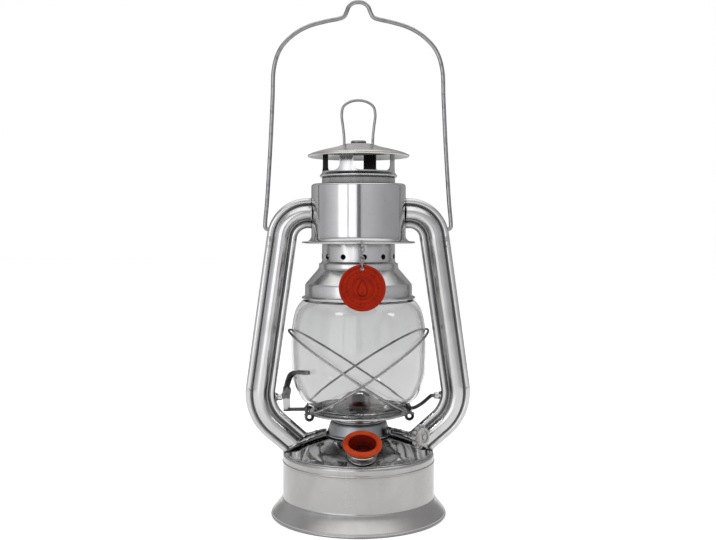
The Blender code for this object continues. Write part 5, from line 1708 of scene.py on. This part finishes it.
@dataclass
class SideTubes(Assembly):
    """The two lobed air tubes, with their feet, solder seams and pressed crimps."""

    half_width: float = 0.0103
    lobe: tuple[float, float] = (0.0057, 0.0075)
    bead: tuple[float, float] = (0.0023, 0.0027)
    bore: tuple[float, float] = (0.0048, 0.0066)
    entry: tuple[float, float] = (0.0327, 0.2075)
    elbow_radius: float = 0.0180
    straight: tuple[float, float] = (0.05345, 0.1850)
    lean: float = math.radians(8.13)
    bend_centre: tuple[float, float] = (0.0385, 0.0835)
    bend_turn: float = math.radians(52)
    tube_end: tuple[float, float] = (0.0440, 0.0496)
    end_cut: float = math.radians(-38)
    hole_height: float = 0.1965
    hole_radius: float = 0.0017
    hole_middle: float = 0.0629
    hole_depth: float = 0.0042
    foot_lift: float = 0.0008
    foot_narrow: float = 0.85
    crimp_run: float = 0.0026
    foot_stops: Sequence[tuple[float, float, float]] = (
        (0.0410, 0.0290, 0.0574), (0.0280, 0.0250, 0.0586), (0.0233, 0.0220, 0.0586))

    def section(self) -> Outline:
        """Return the tube's outline: a deep middle lobe with a bead on each side."""
        across, deep = self.bead
        middle = self.half_width - across
        quadrant = [(middle + across * math.cos(a), deep * math.sin(a))
                    for a in (math.radians(150) * i / 12 for i in range(13))]
        start = math.radians(14)
        quadrant += [(self.lobe[0] * math.cos(a), self.lobe[1] * math.sin(a))
                     for a in (start + (QUARTER - start) * i / 14 for i in range(15))]
        top = quadrant + [(-u, v) for u, v in quadrant[-2::-1]]
        return top + [(u, -v) for u, v in top[-2:0:-1]]

    def bore_section(self) -> Outline:
        """Return the air way's outline, with as many points as the tube's."""
        count = len(self.section())
        return [(self.bore[0] * math.cos(a), self.bore[1] * math.sin(a)) for a in around(count)]

    def straight_x(self, height: float) -> float:
        """Return where the straight run is at a height."""
        return self.straight[0] + (self.straight[1] - height) * math.tan(self.lean)

    def stations(self) -> list[tuple[tuple[float, float], float]]:
        """Return the tube's stations, each with its centre and the angle of its outer side."""
        turn = QUARTER - self.lean
        elbow = self.elbow_radius
        elbow_z = self.entry[1] - elbow
        elbow_x = self.straight_x(elbow_z + elbow * math.cos(turn)) - elbow * math.sin(turn)
        run = [(self.entry, QUARTER)]
        for i in range(17):
            a = QUARTER + (self.lean - QUARTER) * i / 16
            run.append(((elbow_x + elbow * math.cos(a), elbow_z + elbow * math.sin(a)), a))
        radius = (self.straight_x(self.bend_centre[1]) - self.bend_centre[0]) * math.cos(self.lean)
        for i in range(21):
            a = self.lean - (self.lean + self.bend_turn) * i / 20
            centre = (self.bend_centre[0] + radius * math.cos(a), self.bend_centre[1] + radius * math.sin(a))
            run.append((centre, a))
        return [*run, (self.tube_end, self.end_cut)]

    def ring(self, side: int, centre: Sequence[float], angle: float, outline: Outline, stretch: float = 1.0,
             narrow: float = 1.0) -> Path:
        """Place an outline across a tube's path.

        Args:
            side: -1 for the left tube, 1 for the right one.
            centre: The middle of the outline, in X and Z.
            angle: The angle of its outer side.
            outline: The outline.
            stretch: Its scale along the outer side.
            narrow: Its scale along Y.

        Returns:
            The placed points.
        """
        across = Vector((side * math.cos(angle), 0, math.sin(angle)))
        middle = Vector((side * centre[0], 0, centre[1]))
        return [middle + across * u * stretch + Vector((0, v * narrow, 0)) for u, v in outline]

    def build(self, tank: Tank) -> None:
        """Build both tubes.

        Args:
            tank: The tank, on whose dome the feet stand.
        """
        outline = self.section()
        bore = self.bore_section()
        for name, side in SIDES:
            walls = [[self.ring(side, centre, angle, line) for centre, angle in self.stations()]
                     for line in (outline, bore)]
            tube = loft(f"air_tube_{name}", walls)
            place = (side * self.hole_middle, 0, self.hole_height)
            hole = drill(self.hole_radius, place, (1, 0, 0), 2 * self.hole_depth)
            tube = cut_by(tube, [hole])
            self.settle(tube, Body.FRAME, [f"side_tube_{name}"], material=self.finishes.tube)
            self.build_foot(name, side, tank)
            self.build_crimps(name, side)

    def build_foot(self, name: str, side: int, tank: Tank) -> None:
        """Build the duct from a tube's end over the dome to the drum, and its solder.

        Args:
            name: The side's name.
            side: -1 for left, 1 for right.
            tank: The tank, on whose dome it stands.
        """
        outline, bore = self.section(), self.bore_section()
        cut = self.end_cut
        seat = (self.tube_end[0] + GAP * math.sin(cut), self.tube_end[1] - GAP * math.cos(cut))
        outer = [self.ring(side, seat, cut, outline)]
        inner = [self.ring(side, seat, cut, bore)]
        for low_x, top_x, top_z in self.foot_stops:
            low_z = tank.dome_height(low_x) + self.foot_lift
            centre = ((low_x + top_x) / 2, (low_z + top_z) / 2)
            half = math.hypot(low_x - top_x, low_z - top_z) / 2
            angle = math.atan2(low_z - top_z, low_x - top_x)
            narrow = self.foot_narrow
            outer.append(self.ring(side, centre, angle, outline, half / self.half_width, narrow))
            inner.append(self.ring(side, centre, angle, bore, (half - SHEET) / self.half_width, narrow))
        foot = loft(f"duct_foot_{name}", [outer, inner])
        self.settle(foot, Body.FRAME, [f"tube_foot_{name}"], material=self.finishes.tube)
        for number, (ring, radius) in enumerate(((outer[0], 0.00055), (outer[1], 0.00045)), start=1):
            seam = self.bend(f"foot_solder_{name}_{number}", ring, radius, self.finishes.solder, True, 10)
            self.settle(seam, Body.FRAME, slot="tin")

    def build_crimps(self, name: str, side: int) -> None:
        """Press the crimps into a tube's beads.

        Args:
            name: The side's name.
            side: -1 for left, 1 for right.
        """
        marks = (("upper", 0.1849, 1, self.finishes.tube, (0.0011, 0.0007, 0.0010)),
                 ("lower", 0.0865, 1, self.finishes.tube, (0.0011, 0.0007, 0.0010)),
                 ("dash", 0.1912, 3, self.finishes.dull, (0.0010, 0.0005, 0.00035)))
        for title, height, count, material, size in marks:
            for face, depth in FACES:
                out = (self.half_width - self.bead[0]) / math.cos(self.lean)
                x = side * (self.straight_x(height) + out)
                y = depth * (self.bead[1] - 0.0001)
                host = path_host([(x, y, height), (x, y, height - self.crimp_run)])
                label = f"crimp_{title}_{name}_{face}"
                crimps = self.recipes.crimps.make(label, host, material, Count=count, Size=size)
                self.settle(crimps, Body.FRAME, slot="tin")


@dataclass
class Hood(Assembly):
    """The drum that both tubes enter, with its wide rolled flange."""

    wall_radius: float = 0.0324
    flange_radius: float = 0.0389
    flange_height: float = 0.1875
    roll: float = 0.0007
    fillet: float = 0.0040
    top: float = 0.2275
    top_round: float = 0.0020
    chimney_hole: float = 0.0257
    port: tuple[float, float] = (0.0100, 0.0090)
    port_height: float = 0.2075
    chain_hole_out: float = 0.0362
    chain_hole_radius: float = 0.0014

    def build(self) -> None:
        """Build the hood."""
        wall = self.wall_radius
        flange = self.flange_height + self.roll
        side = [(self.chimney_hole, self.top)]
        side += arc((wall - self.top_round, self.top - self.top_round), self.top_round, QUARTER, 0, 10)
        side += arc((wall + self.fillet, flange + self.fillet), self.fillet, math.pi, 1.5 * math.pi, 12)
        side.append((self.flange_radius - self.roll - 0.0001, flange))
        centre = (self.flange_radius - self.roll, self.flange_height)
        edge = arc(centre, self.roll, QUARTER, -1.7 * QUARTER, 14)
        shape = turned("hood_drum", side + edge + offset_line(side, SHEET)[::-1], LARGE_STEPS)
        ports = block((3 * wall, *self.port), Matrix.Translation((0, 0, self.port_height)))
        hole = drill(self.chain_hole_radius, (0, -self.chain_hole_out, flange), (0, 0, 1), 0.006)
        shape = cut_by(shape, [ports, hole])
        self.settle(shape, Body.FRAME, ["hood"], material=self.finishes.hood)
        # Soot and painted shade on the hood's inner faces.
        line_inside(shape, wall - SHEET / 2, self.finishes.soot_and_shade)
        tubes = SideTubes(self.finishes, self.recipes)
        for name, turn in SIDES:
            ring = tubes.ring(turn, (wall + 0.00015, self.port_height), QUARTER, tubes.section())
            seam = self.bend(f"port_solder_{name}", ring, 0.00035, self.finishes.solder, True, 8)
            self.settle(seam, Body.FRAME, slot="tin")


@dataclass
class Chimney(Assembly):
    """The globe cap and the chimney tube with its ring of vent holes."""

    tube_radius: float = 0.0251
    tube_top: float = 0.2312
    flare: float = 0.0010
    liner_radius: float = 0.0208
    cap_top: float = 0.1730
    cone_top: float = 0.1700
    cone_radius: float = 0.0272
    shoulder: float = 0.1588
    cap_radius: float = 0.0368
    rim_radius: float = 0.0391
    rim_low: float = 0.1493
    rim_top: float = 0.1505
    holes: int = 11
    hole_radius: float = 0.0016
    hole_height: float = 0.1780
    first_hole: float = math.radians(-84.5)
    spring_radius: float = 0.0280
    spring_wire: float = 0.0006
    spring_turns: float = 4.0
    raised: float = 0.0098

    def build(self) -> None:
        """Build the chimney."""
        self.build_globe_cap()
        self.build_tube()
        self.keep("spring_ring", self.finishes.dull)
        self.build_spring()

    def build_globe_cap(self) -> None:
        """Build the cap on the globe, with soot and painted shade inside."""
        rim, high = self.rim_radius, self.rim_top
        line = rounded([
            (self.cone_radius, self.cap_top), (self.cone_radius, self.cone_top),
            (self.cap_radius, self.shoulder), (self.cap_radius, high + 0.0003), (rim - 0.0006, high),
            (rim, high - 0.0005), (rim, self.rim_low)], 0.0014, 6)
        cap = turned("globe_cap_dome", sheet(line), LARGE_STEPS)
        self.settle(cap, Body.CHIMNEY, ["globe_cap"], material=self.finishes.tin)
        # Soot and painted shade on the globe cap's inner faces.
        line_inside(cap, rim - SHEET / 2, self.finishes.soot_and_shade)

    def build_tube(self) -> None:
        """Build the chimney tube with its vent holes, their rims and its liner, the rims and liner dark as
        painted shade in and behind the holes.
        """
        radius = self.tube_radius
        foot = self.cap_top + self.flare / 2
        line = rounded([
            (radius, self.tube_top), (radius, foot + self.flare), (radius + self.flare, foot),
            (radius + self.flare, self.cone_top + self.flare)], 0.0006)
        angles = around(self.holes, self.first_hole)
        drills = drills_around(angles, self.hole_radius, radius, self.hole_height, 24, 5 * SHEET)
        tube = cut_by(turned("chimney_pipe", sheet(line)), drills)
        self.settle(tube, Body.CHIMNEY, ["chimney_tube"], material=self.finishes.tin)
        # Soot and painted shade on the pipe's inner faces.
        line_inside(tube, radius + 0.0001, self.finishes.soot_and_shade)
        liner = rounded([
            (self.liner_radius, self.tube_top - 0.0020), (self.liner_radius, self.cone_top + 0.0030),
            (radius - 0.0012, self.cone_top + 0.0012)], SHEET)
        # Painted shade: a dark liner inside the pipe, seen through the vent holes.
        lining = turned("flue_liner", sheet(liner), SMALL_STEPS)
        self.settle(lining, Body.CHIMNEY, slot="dull_tin", material=self.finishes.soot_and_shade)
        # Painted shade: thin dark rims round the vent holes.
        rims = self.recipes.rim_ring.make(
            "vent_rims", empty_host(), self.finishes.soot_and_shade, Count=self.holes, Pipe=radius + 0.00005,
            Height=self.hole_height, Rim=self.hole_radius + 0.0001, Wire=0.00012, Start=self.first_hole)
        self.settle(rims, Body.CHIMNEY, slot="tin")

    def build_spring(self) -> None:
        """Coil the spring under the hood as a fixed coil, though the real spring shortens as the globe raises
        the chimney.
        """
        low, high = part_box("chimney_spring")
        length = high[2] - low[2]
        spring = self.recipes.thread.make(
            "hood_spring", empty_host(), self.finishes.wire, Turns=self.spring_turns,
            Radius=self.spring_radius, Rise=length - 2 * self.spring_wire, Rib=self.spring_wire)
        spring.data.transform(Matrix.Translation((0, 0, low[2] + self.spring_wire)))
        self.settle(spring, Body.FRAME, ["chimney_spring"])
        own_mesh(spring)


@dataclass
class Crown(Assembly):
    """The vent crown with its four posts, the cap disc, its collar and the lift ring."""

    wall_radius: float = 0.0249
    bead_radius: float = 0.0266
    low: float = 0.2315
    bead_height: float = 0.2330
    top: float = 0.2493
    sill: float = 0.2360
    post_angle: float = math.radians(22)
    first_post: float = math.radians(-112.5)
    window_round: float = 0.0045
    cap_radius: float = 0.0348
    cap_edge: float = 0.2465
    cap_rise: float = 0.0085
    cap_roll: float = 0.0010
    collar_radius: float = 0.0053
    collar_height: float = 0.0021
    ring_wire: float = 0.0009
    ring_half_width: float = 0.0115
    ring_foot: float = 0.2524
    ring_height: float = 0.0322
    cap_shares: Pairs = (
        (0.0, 1.0), (0.14, 0.998), (0.28, 0.96), (0.45, 0.74), (0.70, 0.50), (0.90, 0.26), (0.985, 0.10))
    ring_shares: Pairs = (
        (0.852, 0.0), (0.86, 0.22), (0.93, 0.46), (1.0, 0.68), (0.90, 0.86), (0.52, 0.965), (0.0, 1.0))

    def build(self) -> None:
        """Build the crown's pieces."""
        wall, bead = self.wall_radius, self.bead_radius
        round_bead = arc((bead - 0.0009, self.bead_height), 0.0009, 1.1, -1.1, 8)
        line = rounded(
            [(wall, self.top), (wall, self.bead_height + 0.0022), *round_bead, (wall, self.low)], 0.0005)
        half = wall * math.sin((QUARTER - self.post_angle) / 2)
        bend = self.window_round
        outline = arc((half - bend, self.sill + bend), bend, 0, -QUARTER, 10)
        outline += [(-across, up) for across, up in outline[::-1]]
        outline += [(-half, self.cap_edge + self.cap_rise), (half, self.cap_edge + self.cap_rise)]
        turns = [Matrix.Rotation(self.first_post + QUARTER * turn, 4, "Z") for turn in (0.5, 1.5)]
        windows = [plate(f"window_{i}", outline, 3 * wall, turn @ STANDING) for i, turn in enumerate(turns)]
        crown = cut_by(turned("vent_neck", sheet(line, 0.0006)), windows)
        self.settle(crown, Body.CHIMNEY, ["vent_crown"], material=self.finishes.tin)
        # Soot and painted shade on the neck's inner faces.
        line_inside(crown, wall - 0.0003, self.finishes.soot_and_shade)
        self.build_cap()
        path = [(x * self.ring_half_width, 0, self.ring_foot + up * self.ring_height)
                for x, up in self.ring_shares]
        ring = self.bend("lift_loop", smooth(mirrored(path), 8), self.ring_wire, self.finishes.wire)
        self.settle(ring, Body.CHIMNEY, ["lift_ring"])

    def build_cap(self) -> None:
        """Build the cap disc and the collar on its top."""
        line = smooth(scaled(self.cap_shares, self.cap_radius, self.cap_edge, self.cap_rise), 8)
        roll = arc((self.cap_radius - self.cap_roll, self.cap_edge + 0.0003), self.cap_roll, 0.5,
                   -QUARTER * 1.6, 12)
        inner = [(max(r - 0.0003, 0.0), z - SHEET) for r, z in line[:-9]][::-1]
        foot = self.ring_shares[0][0] * self.ring_half_width
        holes = [drill(self.ring_wire + GAP, (side * foot, 0, self.ring_foot), (0, 0, 1), 0.008, 24)
                 for side in (-1, 1)]
        disc = cut_by(turned("rain_cap", line + roll + inner, LARGE_STEPS, closed=False), holes)
        self.settle(disc, Body.CHIMNEY, ["cap_disc"], material=self.finishes.cap_tin)
        # Painted shade: the disc's underside takes the darker dull finish.
        line_inside(disc, self.cap_radius - 0.0004, self.finishes.dull)
        # Soot and painted shade on the disc's underside inside the crown.
        line_inside(disc, self.bead_radius, self.finishes.soot_and_shade)
        peak = self.cap_edge + self.cap_rise
        low, high = peak + GAP, peak + self.collar_height
        outer, bore = self.collar_radius, self.collar_radius - 0.0016
        ring = rounded([
            (bore, high), (outer - 0.0006, high), (outer, high - 0.0007), (outer, low), (bore, low)],
            0.0004, closed=True)
        eyelet = turned("cap_eyelet", ring, 64)
        self.settle(eyelet, Body.CHIMNEY, ["cap_collar"], material=self.finishes.dull)


@dataclass
class Bail(Assembly):
    """The tall wire handle, with the hump at its top and its two hooked ends."""

    wire_radius: float = 0.0014
    pivot_height: float = 0.1965
    leg_x: float = 0.0640
    rise: float = 0.1546
    bend_radius: float = 0.0022
    end_x: float = 0.0590
    shares: Pairs = (
        (0.0, 1.0), (0.056, 0.9955), (0.103, 0.9799), (0.125, 0.9586), (0.156, 0.9360), (0.219, 0.9256),
        (0.359, 0.9133), (0.5375, 0.8913), (0.700, 0.8519), (0.834, 0.7904), (0.9016, 0.7031),
        (0.9156, 0.5712), (0.9422, 0.3512), (0.9766, 0.1300), (0.9953, 0.0485))

    def build(self) -> None:
        """Build the bail."""
        half = [(-x * self.leg_x, 0, self.pivot_height + up * self.rise) for x, up in self.shares[::-1]]
        path = smooth(mirrored(half), 8)
        corner = (self.leg_x - self.bend_radius, self.pivot_height + self.bend_radius)
        hook = [(self.end_x, 0, self.pivot_height)]
        hook += [(x, 0, z) for x, z in arc(corner, self.bend_radius, -QUARTER, 0, 12)]
        points = [(-x, y, z) for x, y, z in hook] + path + hook[::-1]
        wire = self.bend("bail_wire", points, self.wire_radius, self.finishes.wire, sides=20)
        self.settle(wire, Body.BAIL, ["bail"])


@dataclass
class Tag(Assembly):
    """The round red tag and the chain that it hangs on."""

    radius: float = 0.0152
    half: float = 0.0010
    rim: float = 0.0016
    relief: float = 0.0006
    hole_radius: float = 0.0013
    beads: int = 26
    bead_circle: float = 0.0104
    bead_size: tuple[float, float, float] = (0.0007, 0.0008, 0.0007)
    flame: tuple[float, float] = (0.0040, 0.0052)
    hole_drop: float = 0.01489
    centre_drop: float = 0.02749
    tilt: float = math.radians(11.5)
    hang: tuple[float, float, float] = (0.0, -0.0381, 0.18895)
    pitch: float = 0.00336
    link_length: float = 0.00228
    link_width: float = 0.00135
    hook_width: float = 0.0019
    link_wire: float = 0.00045

    def link(self, name: str, count: int, width: float, turn: float, place: Matrix) -> Piece:
        """Make a run of links.

        Args:
            name: The piece's name.
            count: How many links there are.
            width: Half a link's width.
            turn: The first link's turn.
            place: Where the first link's middle is.

        Returns:
            The new piece.
        """
        chain = self.recipes.chain.make(
            name, empty_host(), self.finishes.wire, Links=count, Pitch=self.pitch, Wire=self.link_wire,
            Width=width, Straight=self.link_length - width, Turn=turn)
        chain.data.transform(place)
        return chain

    def build(self) -> None:
        """Build the tag and its chain."""
        top = Vector(self.hang)
        drop = Vector((0, 0, -self.link_length))
        step = Vector((0, 0, -self.pitch))
        first = self.link("hood_link", 1, self.hook_width, QUARTER, Matrix.Translation(top + drop))
        self.settle(first, Body.FRAME, ["chain_link_1"])
        swing = Matrix.Translation(top + step) @ Matrix.Rotation(-self.tilt, 4, "X")
        middle = self.link("chain_run", 3, self.link_width, 0.0, swing @ Matrix.Translation(drop))
        self.settle(middle, Body.TAG, ["chain_link_2", "chain_link_3", "chain_link_4"])
        low = swing @ Matrix.Translation(drop + 3 * step)
        last = self.link("tag_link", 1, self.hook_width, QUARTER, low)
        self.settle(last, Body.TAG, ["chain_link_5"])
        face = swing @ Matrix.Translation((0, 0, -self.centre_drop)) @ STANDING
        disc = turned("round_tag", self.profile(), FINE_STEPS, face, closed=False)
        hole = drill(self.hole_radius, swing @ Vector((0, 0, -self.hole_drop)),
                     swing.to_3x3() @ Vector((0, 1, 0)), 0.006, 32)
        self.settle(cut_by(disc, [hole]), Body.TAG, ["tag_disc"], material=self.finishes.tag)
        circle = [face @ Vector((self.bead_circle * math.cos(a), self.bead_circle * math.sin(a), 0))
                  for a in around(SMALL_STEPS)]
        beads = self.recipes.crimps.make(
            "tag_beads", path_host(circle, True), self.finishes.tag, Count=self.beads, Size=self.bead_size)
        self.settle(beads, Body.TAG, slot="red_paint")
        wide, high = self.flame
        outline = [(-wide * math.sin(a) * math.sin(a / 2) ** 1.4, high * math.cos(a)) for a in around(48)]
        flame = plate("tag_flame", outline, 2 * self.half, face, 0.0003)
        self.settle(flame, Body.TAG, slot="red_paint", material=self.finishes.tag)

    def profile(self) -> Outline:
        """Return the tag's outline: a raised rim, a raised ring and a low dome, alike on both faces."""
        half, low = self.half, self.half - self.relief
        inner = self.radius - self.rim
        front = [(0, low), (0.0064, low), (0.0068, half - 0.0001), (0.0072, half - 0.0001),
                 (0.0076, low), (inner - 0.0004, low), (inner, half), (self.radius - 0.0005, half),
                 (self.radius, half - 0.0005)]
        front = rounded(front, 0.00035, 4)
        return front + [(radius, -height) for radius, height in front[::-1]]


@dataclass
class Studio:
    """The floor, the surround that the metal reflects, the white background, the lamps and the camera."""

    floor_tone: float = 0.86
    ambient: float = 0.42
    camera_at: tuple[float, float, float] = (-0.0378, -0.6698, 0.1960)
    lens: float = 49.0
    pitch: float = 2.35
    yaw: float = 3.2
    floor_lift: float = 0.58
    lamp_aim: float = 0.16
    lamps: Sequence[tuple[str, tuple[float, float, float], float, float]] = (
        ("key_lamp", (-0.9, -0.9, 1.3), 0.5, 9.0), ("side_lamp", (1.1, -0.5, 0.9), 0.35, 4.0),
        ("back_lamp", (0.2, 1.1, 1.2), 0.4, 4.0))
    surround: tuple[float, float] = (1.5, 1.8)
    roof_hole: tuple[float, float] = (1.10, 1.45)
    roof_tones: tuple[float, float] = (1.80, 0.58)
    tones: Pairs = (
        (-180, 0.70), (-170, 0.20), (-150, 0.45), (-124, 0.72), (-96, 0.70), (-72, 1.00), (-54, 1.3),
        (-50, 2.4), (-31, 2.4), (-28, 0.80), (-25, 2.4), (-9, 2.2), (-6, 0.32), (1, 0.24), (4, 0.95),
        (24, 0.90), (60, 0.68), (110, 0.55), (135, 0.50), (150, 0.45), (170, 0.20), (180, 0.70))

    def build(self) -> None:
        """Set up the studio."""
        self.build_floor()
        self.build_surround()
        self.build_world()
        self.build_lamps()
        camera = bpy.data.cameras.new("camera")
        camera.lens = self.lens
        camera.sensor_width = 36.0
        place = linked("camera", camera)
        place.location = self.camera_at
        place.rotation_euler = (math.radians(90 - self.pitch), 0, math.radians(-self.yaw))
        bpy.context.scene.camera = place
        bpy.context.scene.view_settings.view_transform = "Standard"

    def build_floor(self) -> None:
        """Lay the floor, which looks white to the camera and keeps the shadow."""
        shape = bmesh.new()
        bmesh.ops.create_grid(shape, x_segments=1, y_segments=1, size=6.0)
        floor = from_bmesh("studio_floor", shape)
        shader = Shader("floor_paint")
        speckle = shader.noise(30.0, 2.0)
        tone = self.floor_tone
        tint = shader.mix(speckle, grey(tone), grey(tone - 0.02))
        floor.data.materials.append(shader.finish({
            "Base Color": tint, "Roughness": 0.7, "Specular IOR Level": 0.2, "Emission Color": grey(1.0),
            "Emission Strength": shader.span(shader.seen(), 0.0, 1.0, 0.0, self.floor_lift)}))

    def build_surround(self) -> None:
        """Stand a grey surround with bright windows round the object, seen only in reflections."""
        reach, top = self.surround
        dome = [(reach, -0.01), (reach, top * 0.75), (reach * 0.8, top * 0.95), (0, top)]
        wall = turned("studio_surround", dome, SMALL_STEPS, closed=False)
        shader = Shader("surround_paint")
        split = shader.add("ShaderNodeSeparateXYZ", {0: shader.place}).outputs
        angle = shader.maths("ARCTAN2", split[0], shader.maths("MULTIPLY", split[1], -1.0))
        turn = shader.span(angle, -math.pi, math.pi)
        ramp = shader.add("ShaderNodeValToRGB", {0: turn})
        while len(ramp.color_ramp.elements) < len(self.tones):
            ramp.color_ramp.elements.new(1.0)
        for stop, (degrees, tone) in zip(ramp.color_ramp.elements, self.tones):
            stop.position = (degrees + 180) / 360
            stop.color = colour(tone, tone, tone * 1.03)
        out = shader.add("ShaderNodeVectorMath", {0: shader.flat(shader.place)}, operation="LENGTH")
        out = out.outputs["Value"]
        roof = shader.mix(shader.span(out, *self.roof_hole), *map(grey, self.roof_tones))
        tint = shader.mix(shader.span(split[2], 0.75, 1.15), ramp.outputs[0], roof)
        wall.data.materials.append(shader.finish({
            "Base Color": grey(0.0), "Specular IOR Level": 0.0, "Emission Color": tint,
            "Emission Strength": 1.0}))
        for ray in ("camera", "diffuse", "transmission", "shadow", "volume_scatter"):
            setattr(wall, f"visible_{ray}", False)

    def build_world(self) -> None:
        """Make the surround white to camera, glossy and transmission rays, and plain to the rest."""
        world = bpy.data.worlds.new("surround")
        bpy.context.scene.world = world
        world.use_nodes = True
        tree = Tree(world.node_tree)
        back = world.node_tree.nodes["Background"]
        tree.put(back, "Color", grey(1.0))
        tree.put(back, "Strength", tree.span(tree.seen(), 0.0, 1.0, self.ambient, 1.0))

    def build_lamps(self) -> None:
        """Hang three soft lamps, which the metal doesn't reflect."""
        for name, place, size, power in self.lamps:
            lamp = bpy.data.lights.new(name, "AREA")
            lamp.shape = "DISK"
            lamp.size = size
            lamp.energy = power
            stand = linked(name, lamp)
            stand.location = place
            stand.visible_glossy = False
            aim = Vector((0, 0, self.lamp_aim)) - Vector(place)
            stand.rotation_euler = aim.to_track_quat("-Z", "Y").to_euler()


def main() -> None:
    """Build the lantern and its studio, in order."""
    logging.basicConfig(level=logging.INFO, format="%(message)s")
    finishes = Finishes()
    recipes = Recipes()
    tank = Tank(finishes, recipes)
    tank.build()
    for assembly in (Filler, Burner, WickDrive, GlobeCarriage, LiftLever, Hood, Chimney, Crown, Bail, Tag):
        assembly(finishes, recipes).build()
    SideTubes(finishes, recipes).build(tank)
    Studio().build()


if __name__ == "__main__":
    main()
